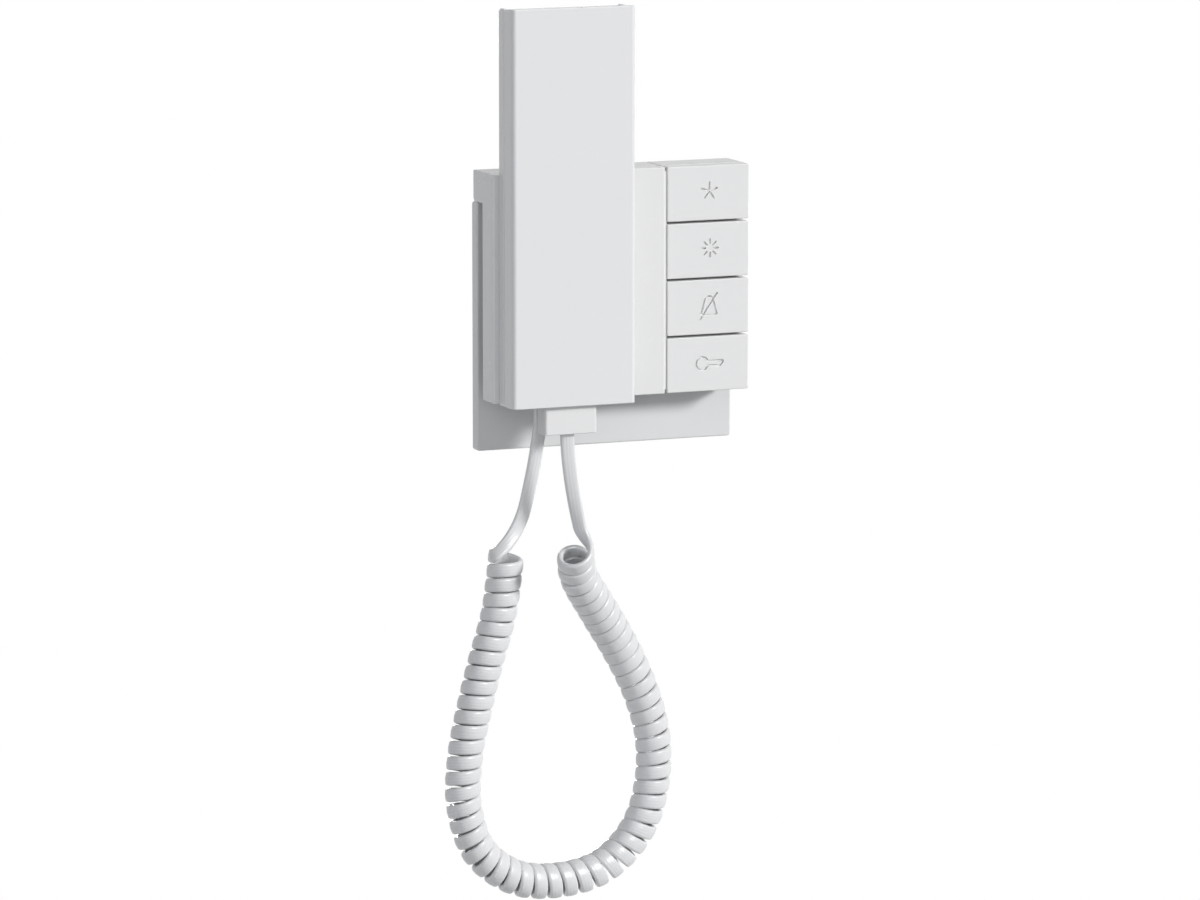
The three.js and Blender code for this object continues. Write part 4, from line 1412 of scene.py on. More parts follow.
@dataclass
class CordGrommet:
    """The bush that holds the flat cord in the base's underside."""

    cord_width: float = 5 * MM
    cord_thickness: float = 2.4 * MM
    play: float = 0.15 * MM
    bore_radius: float = 0.9 * MM
    collar_gap: float = 0.3 * MM
    collar_radius: float = 0.9 * MM
    rim_radius: float = 0.35 * MM
    neck_inset: tuple[float, float] = (1.0 * MM, 0.3 * MM)
    neck_root: float = 0.5 * MM

    def build(self) -> bpy.types.Object:
        """Build and dress the bush.

        Returns:
            The object.
        """
        low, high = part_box("base_cord_grommet")
        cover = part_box("base_cover")[0].z
        middle = (low + high) / 2
        collar = Shape.block(low, (high.x, high.y, cover - self.collar_gap))
        collar.rounded(self.collar_radius, 4, along(2))
        collar.rounded(self.rim_radius, 3, on_plane(2, low.z))
        aside, deep = self.neck_inset
        neck = Shape.block(
            (low.x + aside, low.y + deep, cover - self.neck_root), (high.x - aside, high.y - deep, high.z)
        )
        half, thick = self.cord_width / 2 + self.play, self.cord_thickness / 2 + self.play
        bore = Shape.block(
            (middle.x - half, middle.y - thick, low.z - OVER),
            (middle.x + half, middle.y + thick, high.z + OVER),
        )
        bore.rounded(self.bore_radius, 3, along(2))
        piece = Piece("cord_grommet", "base", frame_slot("base_cord_grommet"), ("base_cord_grommet",))
        return piece.place(collar.joined(neck).cut(bore))


# ---- Screws -------------------------------------------------------------------------------------


@dataclass
class Screw:
    """A pan-head screw with a cross recess, in place of a plain one."""

    node: str
    body: str
    axis: str
    outward: int
    head: float
    shank: float
    head_height: float
    crown_share: float = 0.45
    recess_span: float = 0.3
    recess_depth: float = 0.6
    wing_half: float = 0.22 * MM
    bite: float = 0.2 * MM

    def at(self, height: float) -> Vector:
        """A point of the screw's axis.

        Args:
            height: how high along the axis.

        Returns:
            The point.
        """
        point = middle_of(self.node)
        point["XYZ".index(self.axis)] = height
        return point

    def recess(self, top: float) -> list[Shape]:
        """The two wings of the cross.

        Args:
            top: the height of the head's top.

        Returns:
            The shapes to cut away.
        """
        index = "XYZ".index(self.axis)
        wings = []
        for across in [axis for axis in range(3) if axis != index]:
            size = Vector((self.wing_half,) * 3)
            size[across] = self.head * self.recess_span
            size[index] = self.head_height * self.recess_depth
            wings.append(Shape.block(self.at(top) - size, self.at(top) + size))
        return wings

    def build(self) -> bpy.types.Object:
        """Build and dress the screw.

        Returns:
            The object.
        """
        index = "XYZ".index(self.axis)
        ends = [corner[index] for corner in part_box(self.node)]
        tip, top = ends if self.outward > 0 else reversed(ends)
        seat = top - self.outward * self.head_height
        head = Shape.rod(self.at((top + seat) / 2), self.head, self.head_height, self.axis, 32)
        head.rounded(self.head_height * self.crown_share, 4, on_plane(index, top))
        start = seat + self.bite * self.outward
        shank = Shape.rod(self.at((start + tip) / 2), self.shank, abs(start - tip), self.axis, 24)
        piece = Piece(f"{self.node}_cross", self.body, "steel", (self.node,), edge=0.05 * MM)
        return piece.place(head.joined(shank).cut(*self.recess(top)))


# ---- The handset --------------------------------------------------------------------------------


@dataclass
class Handset:
    """The handset: a rear shell that the hook enters, a front shell, and the block for the cord."""

    side_radius: float = 1.7 * MM
    back_radius: float = 0.6 * MM
    end_radius: float = 0.4 * MM
    top_fall: float = 1.0 * MM
    inner_fall: float = 1.0 * MM
    rear_wall: float = 1.6 * MM
    front_wall: float = 1.8 * MM
    parting_gap: float = 0.3 * MM
    parting_edge: float = 0.32 * MM
    ledge_width: float = 1.2 * MM
    ledge_height: float = 1.4 * MM
    lip_play: float = 0.3 * MM
    lip_stop: float = 3.6 * MM
    root: float = 0.2 * MM
    screw_post: float = 5.2 * MM
    screw_tube: float = 7.6 * MM
    tube_root: float = 0.1 * MM
    head_bore: tuple[float, float] = (5.2 * MM, 4.4 * MM)
    post_bore: tuple[float, float] = (3.0 * MM, 7 * MM)
    post_bore_depth: float = 3 * MM
    tube_bore: tuple[float, float] = (3.0 * MM, 12 * MM)
    tube_bore_depth: float = 2 * MM
    ear_ring: float = 5 * MM
    ear_holes: int = 6
    ear_hole: float = 2 * MM
    mouth_hole: float = 1.8 * MM
    hole_depth: float = 8 * MM
    hook_play: float = 0.35 * MM
    hook_entry: float = 1.5 * MM
    hook_room: float = 9.3 * MM
    cheek_height: float = 0.5 * MM
    cheek_width: float = 1.5 * MM
    cheek_inset: float = 0.3 * MM
    cheek_root: float = 0.5 * MM
    cheek_ends: tuple[float, float] = (0.2 * MM, 0.8 * MM)
    cheek_radius: float = 0.3 * MM
    neck_slot: tuple[float, float, float] = (6.3 * MM, 2.3 * MM, 5 * MM)

    def rounded_shell(self, low: Vector, high: Vector, face: float, radius: float) -> Shape:
        """A shell's outer form, whose top falls towards the wall.

        Args:
            low: its lowest corner.
            high: its highest corner.
            face: the Y of the face whose upright edges are rounded.
            radius: of that rounding.

        Returns:
            The form.
        """
        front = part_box("handset_front_shell")[0].y
        slope = self.top_fall / (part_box("handset_rear_shell")[1].y - front)
        outline = [
            (low.x, low.y, low.z),
            (low.x, high.y, low.z),
            (low.x, high.y, high.z - slope * (high.y - front)),
            (low.x, low.y, high.z - slope * (low.y - front)),
        ]
        form = Shape.prism(outline, (high.x - low.x, 0, 0))
        form.rounded(radius, 7, both(along(2), on_plane(1, face)))
        parting = low.y if face == high.y else high.y

        def rim(edge: bmesh.types.BMEdge) -> bool:
            """Whether an edge is on the outline of the top or the bottom, off the parting line."""
            run = edge.verts[1].co - edge.verts[0].co
            return sharp(edge) and abs(run.z) < 0.2 * run.length and not all_at(edge, 1, parting)

        return form.rounded(self.end_radius, 3, rim)

    def screws(self, y: float, diameter: float, length: float, sides: int = 32) -> list[Shape]:
        """A cylinder on the axis of each screw.

        Args:
            y: the middle of the cylinders.
            diameter: across them.
            length: along them.
            sides: how many faces they have round them.

        Returns:
            The two cylinders.
        """
        places = [middle_of(f"handset_screw_{number}") for number in (1, 2)]
        return [Shape.rod((x, y, z), diameter, length, sides=sides) for x, _, z in places]

    def ledge(self, margin: float, start: float, end: float) -> Shape:
        """A ledge round the inside of the front shell.

        Args:
            margin: how far in from the outline it starts.
            start: the Y where it starts.
            end: the Y where it ends.

        Returns:
            The ledge.
        """
        low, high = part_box("handset_front_shell")
        ceiling = high.z - self.inner_fall
        inner = self.front_wall - self.root + self.ledge_width
        solid, hollow = (
            Shape.block(
                (low.x + inset, start - past, low.z + inset), (high.x - inset, end + past, ceiling - inset)
            )
            for inset, past in ((margin, 0), (inner, OVER))
        )
        return solid.cut(hollow)

    def front_shell(self) -> bpy.types.Object:
        """Build and dress the front shell.

        Returns:
            The object.
        """
        low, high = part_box("handset_front_shell")
        rear_low, rear_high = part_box("handset_rear_shell")
        back = rear_low.y - self.parting_gap
        form = self.rounded_shell(low, Vector((high.x, back, high.z)), low.y, self.side_radius)
        wall = self.front_wall
        room = Shape.block(
            (low.x + wall, low.y + wall, low.z + wall),
            (high.x - wall, back + OVER, high.z - self.inner_fall - wall),
        )
        lip = self.ledge(wall - self.root, back - self.ledge_height, back).joined(
            self.ledge(self.rear_wall + self.lip_play, back - self.root, rear_high.y - self.lip_stop)
        )
        post = back - low.y - wall + self.root
        posts = self.screws(back - post / 2, self.screw_post, post)
        bores = self.screws(back - self.post_bore_depth, *self.post_bore, 24)
        shell = form.cut(room).joined(lip, *posts).cut(*bores, self.block_slot())
        nodes = ("handset_front_shell",)
        return Piece("handset_front", "handset", "handset_gloss", nodes, edge=self.parting_edge).place(shell)

    def block_slot(self) -> Shape:
        """The slot that the cord block's neck passes through.

        Returns:
            The shape to cut away.
        """
        x, y, _ = middle_of("handset_cord_block")
        half, thick, tall = self.neck_slot
        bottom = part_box("handset_front_shell")[0].z
        return Shape.block((x - half, y - thick, bottom - OVER), (x + half, y + thick, bottom + tall))

    def hook_slot(self) -> Shape:
        """The slot that the base's hook enters, rising outwards at 45 degrees.

        Returns:
            The shape to cut away.
        """
        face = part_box("button_cap_1")[0].y
        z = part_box("base_cover")[1].z - BaseCover.hook_drop
        half = BaseCover.hook_width / 2 + self.hook_play
        left = middle_of("handset_rear_shell").x - half
        thick = BaseCover.hook_thickness / 2 + self.hook_play * math.sqrt(2)
        start, end = face + self.hook_entry, face - self.hook_room
        outline = [
            (left, start, z - thick + face - start),
            (left, start, z + thick + face - start),
            (left, end, z + thick + face - end),
            (left, end, z - thick + face - end),
        ]
        return Shape.prism(outline, (2 * half, 0, 0))

    def sound_holes(self, back: float) -> list[Shape]:
        """The holes over the earpiece, one in a ring of six, and the one over the microphone.

        Args:
            back: the Y of the rear shell's back.

        Returns:
            The shapes to cut away.
        """
        x, _, z = middle_of("earpiece_capsule")
        turns = [math.tau * i / self.ear_holes for i in range(self.ear_holes)]
        ring = [(self.ear_ring * math.cos(a), self.ear_ring * math.sin(a)) for a in turns]
        holes = [
            Shape.rod((x + right, back, z + up), self.ear_hole, self.hole_depth, sides=24)
            for right, up in [(0, 0), *ring]
        ]
        x, _, z = middle_of("microphone_capsule")
        return [*holes, Shape.rod((x, back, z), self.mouth_hole, self.hole_depth, sides=24)]

    def cheeks(self, ceiling: float) -> list[Shape]:
        """The two small ears on the top.

        Args:
            ceiling: the height of the room inside.

        Returns:
            The ears.
        """
        low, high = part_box("handset_rear_shell")
        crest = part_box("handset_front_shell")[1].z + self.cheek_height - self.inner_fall
        made = []
        for x in (low.x + self.cheek_inset, high.x - self.cheek_inset - self.cheek_width):
            cheek = Shape.block(
                (x, low.y + self.cheek_ends[0], ceiling + self.cheek_root),
                (x + self.cheek_width, high.y - self.cheek_ends[1], crest),
            )
            made.append(cheek.rounded(self.cheek_radius, 2, on_plane(2, crest)))
        return made

    def rear_shell(self) -> bpy.types.Object:
        """Build and dress the rear shell.

        Returns:
            The object.
        """
        low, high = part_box("handset_rear_shell")
        high.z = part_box("handset_front_shell")[1].z
        form = self.rounded_shell(low, high, high.y, self.back_radius)
        wall = self.rear_wall
        ceiling = high.z - self.inner_fall - wall
        form = form.cut(
            Shape.block(
                (low.x + wall, low.y - OVER, low.z + wall), (high.x - wall, high.y - wall, ceiling)
            )
        )
        inside, tube_end = high.y - wall + self.tube_root, low.y + self.parting_gap
        tubes = self.screws((inside + tube_end) / 2, self.screw_tube, inside - tube_end)
        heads = self.screws(high.y, *self.head_bore)
        bores = self.screws(low.y + self.tube_bore_depth, *self.tube_bore, 24)
        shell = form.joined(*tubes, *self.cheeks(ceiling))
        shell = shell.cut(*self.sound_holes(high.y), *heads, *bores, self.hook_slot(), self.block_slot())
        nodes = ("handset_rear_shell",)
        return Piece("handset_rear", "handset", "handset_gloss", nodes, edge=self.parting_edge).place(shell)

    def build(self) -> list[bpy.types.Object]:
        """Build the handset's visible pieces."""
        return [self.rear_shell(), self.front_shell(), CordBlock().build()]


@dataclass
class CordBlock:
    """The block under the handset that takes the cord, with its neck and the flange that holds it."""

    side_radius: float = 1.0 * MM
    rim_radius: float = 0.4 * MM
    gap: float = 0.3 * MM
    neck_half: tuple[float, float] = (6 * MM, 2 * MM)
    flange_half: tuple[float, float] = (8.5 * MM, 3.2 * MM)
    flange_height: float = 1.8 * MM
    bore_half: tuple[float, float] = (2.7 * MM, 1.4 * MM)
    bore_depth: float = 3 * MM
    bore_radius: float = 1.1 * MM

    @staticmethod
    def post(x: float, y: float, half: tuple[float, float], bottom: float, top: float) -> Shape:
        """An upright box.

        Args:
            x: its middle along X.
            y: its middle along Y.
            half: half its width and half its depth.
            bottom: the Z where it starts.
            top: the Z where it ends.

        Returns:
            The box.
        """
        aside, deep = half
        return Shape.block((x - aside, y - deep, bottom), (x + aside, y + deep, top))

    def build(self) -> bpy.types.Object:
        """Build and dress the block.

        Returns:
            The object.
        """
        low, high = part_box("handset_cord_block")
        x, y, _ = (low + high) / 2
        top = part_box("handset_front_shell")[0].z - self.gap
        block = Shape.block(low, (high.x, high.y, top))
        block.rounded(self.side_radius, 5, along(2))
        block.rounded(self.rim_radius, 3, either(on_plane(2, low.z), on_plane(2, top)))
        neck = self.post(x, y, self.neck_half, top - OVER, high.z)
        flange = self.post(x, y, self.flange_half, high.z - self.flange_height, high.z)
        start = Vector(CurlyCord.HANDSET_TAIL[0]) * MM
        bore = self.post(start.x, start.y, self.bore_half, low.z - OVER, low.z + self.bore_depth)
        bore.rounded(self.bore_radius, 3, along(2))
        piece = Piece("handset_cord_entry", "handset", "cord_block_satin", ("handset_cord_block",))
        return piece.place(block.joined(neck, flange).cut(bore))


# ---- The cord -----------------------------------------------------------------------------------


@dataclass
class Station:
    """A place along the cord: its middle, the way its flat side faces, and a weight from 0 to 1 for following
    the handset, which this script doesn't apply.
    """

    place: Vector
    facing: Vector
    pull: float = 0.0


def smooth_curve(points: Sequence[Vector], step: float) -> list[Vector]:
    """A Catmull-Rom curve.

    Args:
        points: the points that it passes through.
        step: about how far apart its own points are.

    Returns:
        Points along the curve, both ends included.
    """
    padded = [points[0] * 2 - points[1], *points, points[-1] * 2 - points[-2]]
    made = []
    for a, b, c, d in zip(padded, padded[1:], padded[2:], padded[3:]):
        count = max(2, round((c - b).length / step))
        for i in range(count):
            t = i / count
            square, cube = 2 * a - 5 * b + 4 * c - d, 3 * b - 3 * c + d - a
            made.append(0.5 * (2 * b + (c - a) * t + square * t**2 + cube * t**3))
    return [*made, points[-1].copy()]


def lengths(points: Sequence[Vector]) -> list[float]:
    """Distances along a line.

    Args:
        points: the line's points.

    Returns:
        How far along the line each point is, from 0.
    """
    total = [0.0]
    for a, b in zip(points, points[1:]):
        total.append(total[-1] + (b - a).length)
    return total


def ease(t: float) -> float:
    """A number from 0 to 1 that starts and stops gently."""
    return t * t * (3 - 2 * t)


@dataclass
class CurlyCord:
    """The flat cord: a straight tail from the base, a curly loop and a straight tail into the handset."""

    # The routes in millimetres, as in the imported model. The bends between the stretches take the place
    # of the tails' last points.
    BASE_TAIL: ClassVar[list[Point]] = [
        [-29.2, -14.8, -27.4], [-29.4, -14.8, -35], [-30.2, -14.4, -42], [-31.7, -13.8, -51.5],
        [-33.9, -13.2, -62.3], [-37.2, -12.4, -73], [-40.5, -11.9, -80.9],
    ]
    COIL_AXIS: ClassVar[list[Point]] = [
        [-41.2, -11.6, -82.6], [-42.6, -11.5, -94], [-44.5, -11.3, -105.4], [-49.2, -11, -121.3],
        [-53.4, -10.7, -137.7], [-56.7, -10.4, -154.3], [-57.3, -10.2, -172.5], [-51.3, -10, -190.3],
        [-36.9, -9.8, -201.4], [-18.9, -9.6, -203.6], [-1.9, -9.4, -199.4], [10.8, -9.2, -187.4],
        [16.6, -9, -171.5], [17.1, -8.8, -153.8], [12.4, -8.8, -136.4], [4, -9.9, -119.7],
        [-6.5, -14.8, -104.5], [-17.1, -22.2, -90.4], [-21.4, -28.9, -80.7],
    ]
    HANDSET_TAIL: ClassVar[list[Point]] = [
        [-23.8, -27, -37], [-23.5, -27, -43.5], [-22.7, -27, -51], [-21, -26.8, -61],
        [-18.9, -26.2, -70], [-17, -25.2, -77.2],
    ]

    width: float = 5.0 * MM
    thickness: float = 2.4 * MM
    corner: float = 0.95 * MM
    crown: float = 0.16 * MM
    radius: float = 5.35 * MM
    pitch: float = 5.5 * MM
    end_turn: float = -0.11
    first_angle: float = 90.0
    steps_per_turn: int = 30
    axis_step: float = 1.5 * MM
    swell: float = 0.7 * MM
    swell_place: float = 34 * MM
    swell_reach: float = 36 * MM
    fold: Point = (-3 * MM, 0, -1 * MM)
    opening: tuple[float, float] = (17 * MM, 7 * MM)
    closing: tuple[float, float] = (4.5 * MM, 5 * MM)
    handset_twist: tuple[Point, Point] = ((0.2, 0.98, 0), (0.62, 0.78, 0))
    bend_reach: float = 55 * MM
    bend_spread: float = 0.05
    tail_step: float = 1.2 * MM
    join_steps: int = 26
    tucked: float = 1.6 * MM

    @staticmethod
    def directions(axis: Sequence[Vector]) -> list[tuple[Vector, Vector]]:
        """The way that a line heads at each point, and a direction square to it that doesn't twist.

        Args:
            axis: the line's points.

        Returns:
            Both directions for each point.
        """
        front = Vector((0, -1, 0))
        made = []
        for i in range(len(axis)):
            ahead = axis[min(i + 1, len(axis) - 1)] - axis[max(i - 1, 0)]
            heading = ahead.normalized()
            front = (front - heading * front.dot(heading)).normalized()
            made.append((heading, front))
        return made

    def helix(self) -> list[Station]:
        """The curly loop: a right-handed helix about the loop's axis, from its left side to its right side.

        Returns:
            The loop's stations.
        """
        axis = smooth_curve([Vector(p) * MM for p in self.COIL_AXIS], self.axis_step)
        run = lengths(axis)
        directions = self.directions(axis)
        turns = round(run[-1] / self.pitch) + self.end_turn
        count = round(turns * self.steps_per_turn)
        stations = []
        k = 0
        for i, phase in enumerate(self.phases(count, run[-1], turns)):
            share = i / count
            s = share * run[-1]
            while k < len(run) - 2 and run[k + 1] < s:
                k += 1
            t = (s - run[k]) / (run[k + 1] - run[k])
            heading, front = (a.lerp(b, t).normalized() for a, b in zip(directions[k], directions[k + 1]))
            angle = math.radians(self.first_angle) + phase
            out = front * math.cos(angle) + heading.cross(front) * math.sin(angle)
            packed = (run[-1] - s - self.swell_place) / self.swell_reach
            radius = self.radius + self.swell * math.exp(-packed * packed)
            stations.append(Station(axis[k].lerp(axis[k + 1], t) + out * radius, out, ease(share)))
        return stations

    def phases(self, count: int, length: float, turns: float) -> list[float]:
        """How far round the helix has gone at equal steps along its axis.

        Args:
            count: the number of steps.
            length: the length of the axis.
            turns: how many turns it makes in all.

        Returns:
            Angles from 0, growing more slowly round the bottom bend, where the turns fan out.
        """
        angles = [0.0]
        for i in range(count):
            away = ((i + 0.5) / count - 0.5) * length / self.bend_reach
            angles.append(angles[-1] + 1 / (1 + self.bend_spread * math.exp(-away * away)))
        whole = math.tau * turns / angles[-1]
        return [angle * whole for angle in angles]

    def tail(self, points: Sequence[Point], start: Vector, end: Vector) -> list[Station]:
        """A straight tail.

        Args:
            points: the points that it passes through.
            start: the way its flat side faces where it leaves the plastic.
            end: the way it faces by the coil.

        Returns:
            The tail's stations.
        """
        line = smooth_curve([Vector(p) * MM for p in points], self.tail_step)
        twist = start.rotation_difference(end)
        shares = [i / (len(line) - 1) for i in range(len(line))]
        return [Station(p, Quaternion().slerp(twist, t * t) @ start) for p, t in zip(line, shares)]

    def join(
        self,
        a: Sequence[Station],
        b: Sequence[Station],
        reach: tuple[float, float],
        push: Point = (0, 0, 0),
    ) -> list[Station]:
        """The bend between two stretches.

        Args:
            a: the stretch before it.
            b: the stretch after it.
            reach: how far its two handles reach.
            push: how far its second handle is pushed aside.

        Returns:
            The stations between them.
        """
        start, end = a[-1], b[0]
        leave = (a[-1].place - a[-2].place).normalized() * reach[0]
        arrive = (b[1].place - b[0].place).normalized() * reach[1]
        p = [start.place, start.place + leave, end.place - arrive + Vector(push), end.place]
        made = []
        turn = start.facing.rotation_difference(end.facing)
        for i in range(1, self.join_steps):
            t = i / self.join_steps
            u = 1 - t
            place = p[0] * u**3 + p[1] * 3 * u * u * t + p[2] * 3 * u * t * t + p[3] * t**3
            made.append(Station(place, Quaternion().slerp(turn, ease(t)) @ start.facing))
        return made

    def stations(self) -> list[Station]:
        """Every station, from the base to the handset.

        Returns:
            The stations in order.
        """
        coil = self.helix()
        forward = Vector((0, -1, 0))
        first = self.tail(self.BASE_TAIL[:-2], forward, forward)
        last = self.tail(self.HANDSET_TAIL[:-1], *(Vector(way) for way in self.handset_twist))
        last.reverse()
        inlet = Station(first[0].place + Vector((0, 0, self.tucked)), first[0].facing)
        outlet = Station(last[-1].place + Vector((0, 0, self.tucked)), last[-1].facing, 1.0)
        opening = self.join(first, coil, self.opening, self.fold)
        closing = self.join(coil, last, self.closing)
        for station in [*closing, *last]:
            station.pull = 1.0
        return [inlet, *first, *opening, *coil, *closing, *last, outlet]

    def section(self) -> list[tuple[float, float]]:
        """The flat cord's outline, with round corners and slightly crowned sides.

        Returns:
            Its points, across the width and across the thickness.
        """
        steps = 4
        points = []
        level = self.thickness / 2 - self.corner - self.crown
        for quarter, (a, b) in enumerate([(1, 1), (-1, 1), (-1, -1), (1, -1)]):
            x, y = a * (self.width / 2 - self.corner), b * level
            for i in range(steps + 1):
                angle = math.pi / 2 * (quarter + i / steps)
                points.append((x + self.corner * math.cos(angle), y + self.corner * math.sin(angle)))
            if quarter in (0, 2):
                points.append((0.0, b * self.thickness / 2))
        return points

    def skin(self, stations: Sequence[Station]) -> tuple[Shape, list[float]]:
        """The cord's mesh, with a map of metres along it and metres round its section.

        Args:
            stations: every station along it.

        Returns:
            The mesh, and a weight for each of its vertices for following the handset, which build doesn't use.
        """
        mesh = bmesh.new()
        chart = mesh.loops.layers.uv.new("cord")
        outline = self.section()
        rings, pulls = [], []
        neighbours = zip([stations[0], *stations], stations, [*stations[1:], stations[-1]])
        for before, station, after in neighbours:
            heading = (after.place - before.place).normalized()
            facing = (station.facing - heading * station.facing.dot(heading)).normalized()
            across = heading.cross(facing)
            rings.append([mesh.verts.new(station.place + across * x + facing * y) for x, y in outline])
            pulls += [station.pull] * len(outline)
        run = lengths([station.place for station in stations])
        girth = lengths([Vector((x, y, 0)) for x, y in [*outline, outline[0]]])
        for k, (ring, following) in enumerate(zip(rings, rings[1:])):
            for j in range(len(outline)):
                n = (j + 1) % len(outline)
                face = mesh.faces.new((ring[j], ring[n], following[n], following[j]))
                corners = ((k, j), (k, j + 1), (k + 1, j + 1), (k + 1, j))
                for loop, (lengthwise, round_it) in zip(face.loops, corners):
                    loop[chart].uv = (run[lengthwise], girth[round_it])
        mesh.faces.new(list(reversed(rings[0])))
        mesh.faces.new(rings[-1])
        bmesh.ops.recalc_face_normals(mesh, faces=mesh.faces)
        return Shape(mesh), pulls

    def build(self) -> bpy.types.Object:
        """Returns:
            The object.
        """
        stations = self.stations()
        places = [station.place for station in stations]
        shape, pulls = self.skin(stations)
        made = shape.object("curly_cord")
        made.data.materials.append(PALETTE["cord_white"])
        made.data.shade_smooth()
        places[0]
        places[-1]
        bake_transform(made)
        nodes = ("cord_tail_base", "cord_coil", "cord_tail_handset")
        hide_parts(*nodes)
        REPLACED.update(nodes)
        length = lengths(places)[-1]
        places[0]
        LOG.info("curly_cord: %.3f m along its middle, %d stations", length, len(stations))
        return made


# ---- The studio ---------------------------------------------------------------------------------


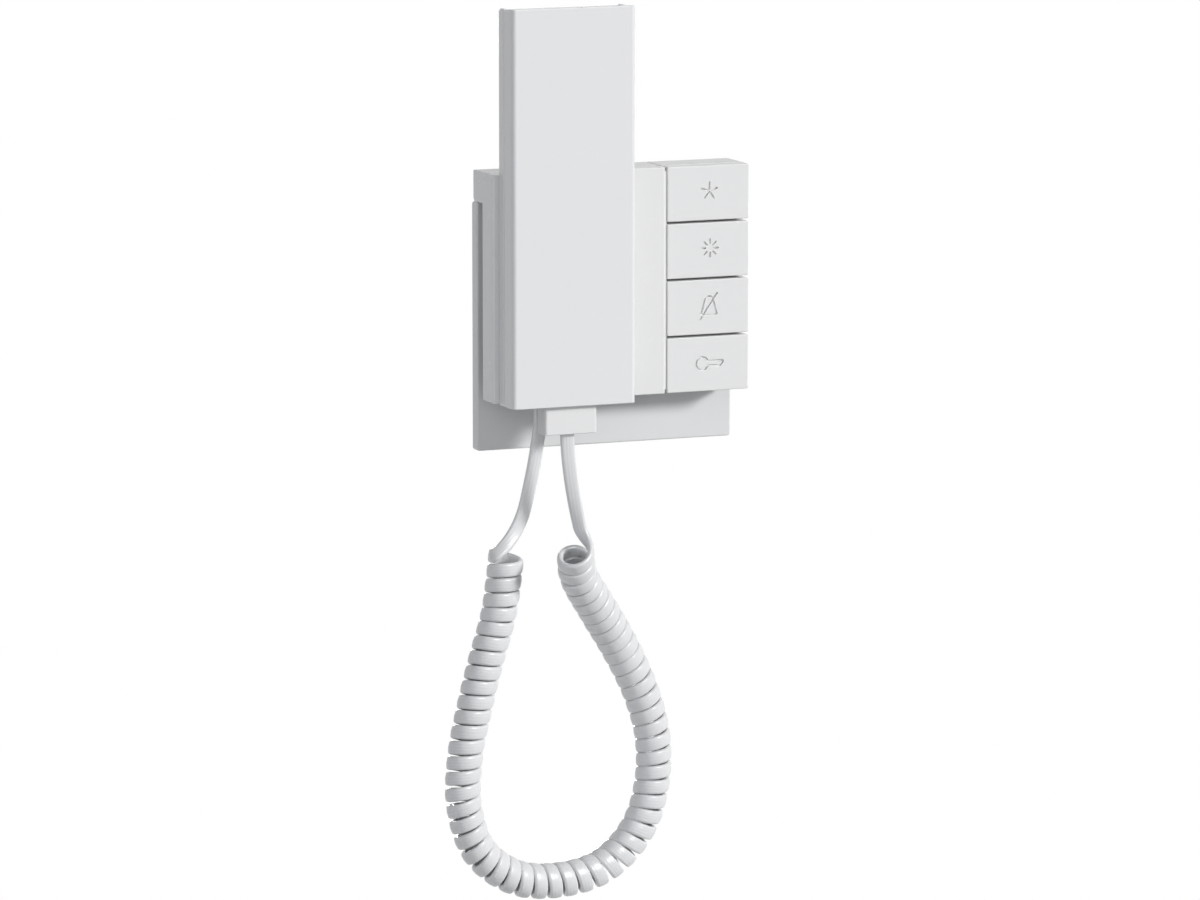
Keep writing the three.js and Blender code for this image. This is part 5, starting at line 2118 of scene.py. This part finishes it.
@dataclass
class Studio:
    """The camera, the lamps, the pale floor and the world."""

    azimuth: float = -22.34
    elevation: float = 8.90
    distance: float = 2.439
    lens: float = 201.9
    sensor_width: float = 36.0
    clip: tuple[float, float] = (0.05, 50.0)
    target: Point = (0.0, 0.0, -0.0481)
    key_from: Point = (0.69, -0.655, 0.33)
    key_strength: float = 2.62
    key_angle: float = 11.0
    shine_from: Point = (0.2, -0.8, 0.6)
    shine_strength: float = 2.4
    shine_angle: float = 20.0
    fill_from: Point = (-0.62, -0.6, 0.2)
    fill_strength: float = 0.85
    fill_angle: float = 80.0
    fill_colour: Colour = (0.93, 0.955, 1.0)
    back_from: Point = (0.3, 0.95, -0.05)
    back_strength: float = 1.0
    back_angle: float = 5.0
    white: Colour = (1.0, 1.0, 1.0)
    ambient: float = 0.20
    ambient_colour: Colour = (0.985, 0.995, 1.02)
    floor_colour: Colour = (0.6, 0.6, 0.6)
    floor_roughness: float = 0.9
    floor_z: float = -1.7
    floor_size: float = 9.0

    def camera(self) -> None:
        """Aim the camera from its azimuth and elevation."""
        data = bpy.data.cameras.new("camera")
        data.sensor_width = self.sensor_width
        data.lens = self.lens
        data.clip_start, data.clip_end = self.clip
        a, e = math.radians(self.azimuth), math.radians(self.elevation)
        back = Vector((math.sin(a) * math.cos(e), -math.cos(a) * math.cos(e), math.sin(e)))
        made = bpy.data.objects.new("camera", data)
        made.location = Vector(self.target) + back * self.distance
        made.rotation_euler = (-back).to_track_quat("-Z", "Y").to_euler()
        bpy.context.scene.collection.objects.link(made)
        bpy.context.scene.camera = made

    @staticmethod
    def lamp(name: str, source: Point, strength: float, angle: float, colour: Colour) -> bpy.types.Object:
        """Set up a lamp whose light comes from one side.

        Args:
            name: the lamp's name.
            source: the direction the light comes from.
            strength: of the lamp.
            angle: how wide it looks, in degrees.
            colour: of its light.

        Returns:
            The lamp.
        """
        data = bpy.data.lights.new(name, "SUN")
        data.energy = strength
        data.angle = math.radians(angle)
        data.color = colour
        made = bpy.data.objects.new(name, data)
        made.rotation_euler = Vector(source).to_track_quat("Z", "Y").to_euler()
        bpy.context.scene.collection.objects.link(made)
        return made

    def lamps(self) -> None:
        """Set the lamps up: the key, which leaves the gloss to the shine, the fill and the back lamp."""
        key = self.lamp("key", self.key_from, self.key_strength, self.key_angle, self.white)
        key.visible_glossy = False
        shine = self.lamp("shine", self.shine_from, self.shine_strength, self.shine_angle, self.white)
        shine.visible_diffuse = False
        self.lamp("fill", self.fill_from, self.fill_strength, self.fill_angle, self.fill_colour)
        self.lamp("back", self.back_from, self.back_strength, self.back_angle, self.white)

    @staticmethod
    def seen(nodes: Nodes) -> Signal:
        """Whether a ray comes from the camera, a mirror or glass.

        Args:
            nodes: the tree that asks.

        Returns:
            1 for such a ray, and 0 for light that falls on something.
        """
        rays = nodes.node("ShaderNodeLightPath").outputs
        names = ("Is Camera Ray", "Is Glossy Ray", "Is Transmission Ray")
        camera, mirror, glass = (Signal(nodes, rays[name]) for name in names)
        return camera.or_more(mirror).or_more(glass)

    def world(self) -> None:
        """Make a world that is white to the eye and lights the object softly."""
        world = bpy.data.worlds.new("studio")
        world.use_nodes = True
        nodes = Nodes(world.node_tree)
        nodes.tree.nodes.clear()
        soft_light = {"Color": self.ambient_colour, "Strength": self.ambient}
        soft = nodes.node("ShaderNodeBackground", {}, soft_light).outputs[0]
        plain = nodes.node("ShaderNodeBackground", {}, {"Color": self.white}).outputs[0]
        mix = nodes.node("ShaderNodeMixShader", {}, {0: self.seen(nodes), 1: soft, 2: plain})
        nodes.node("ShaderNodeOutputWorld", {}, {"Surface": mix.outputs[0]})
        bpy.context.scene.world = world

    def floor(self) -> None:
        """Lay a plain pale floor well below the object."""
        mesh = bmesh.new()
        bmesh.ops.create_grid(mesh, x_segments=1, y_segments=1, size=self.floor_size / 2)
        bmesh.ops.translate(mesh, vec=(0, 0, self.floor_z), verts=mesh.verts)
        made = Shape(mesh).object("floor")
        sheet = Sheet("pale_floor")
        material = sheet.dress(Base_Color=self.floor_colour, Roughness=self.floor_roughness)
        glow = sheet.node("ShaderNodeEmission").outputs[0]
        surface = {0: self.seen(sheet), 1: sheet.shader.outputs[0], 2: glow}
        mix = sheet.node("ShaderNodeMixShader", {}, surface)
        sheet.feed(sheet.tree.nodes["Material Output"].inputs["Surface"], mix.outputs[0])
        made.data.materials.append(material)

    def build(self) -> None:
        """Set the whole studio up."""
        self.camera()
        self.lamps()
        self.world()
        self.floor()
        bpy.context.scene.view_settings.view_transform = "Standard"


# ---- The whole station --------------------------------------------------------------------------


def dress_inner_nodes(replaced: set[str]) -> None:
    """Give every node that stays its slot's finish.

    Args:
        replaced: the nodes that a finished piece stands for.
    """
    for name, made in frame["nodes"].items():
        if name in replaced:
            continue
        slot = frame_slot(name)
        for holder in made.material_slots:
            holder.material = PALETTE[slot]
        LOG.info("node %s keeps its shape in %s", name, slot)


def main() -> None:
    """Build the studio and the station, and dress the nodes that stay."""
    logging.basicConfig(level=logging.INFO, format="%(message)s")
    Studio().build()
    CurlyCord().build()
    WallFrame().build()
    WallBracket().build()
    BaseCover().build()
    ButtonHousing().build()
    buttons = [
        ButtonCap(1, Symbol.STAR, (0.45 * MM, 0.7 * MM)),
        ButtonCap(2, Symbol.LIGHT, (0.75 * MM, 0.66 * MM)),
        ButtonCap(3, Symbol.MUTED_BELL, (0.35 * MM, 0.55 * MM)),
        ButtonCap(4, Symbol.KEY, (-2.15 * MM, 0.2 * MM)),
    ]
    for button in buttons:
        button.build()
    CordGrommet().build()
    Handset().build()
    Screw("cover_screw", "base", "Z", -1, head=4.4 * MM, shank=2.2 * MM, head_height=1.1 * MM).build()
    for number in (1, 2):
        node = f"handset_screw_{number}"
        Screw(node, "handset", "Y", 1, head=4.6 * MM, shank=2.4 * MM, head_height=1.4 * MM).build()
    dress_inner_nodes(REPLACED)


if __name__ == "__main__":
    main()
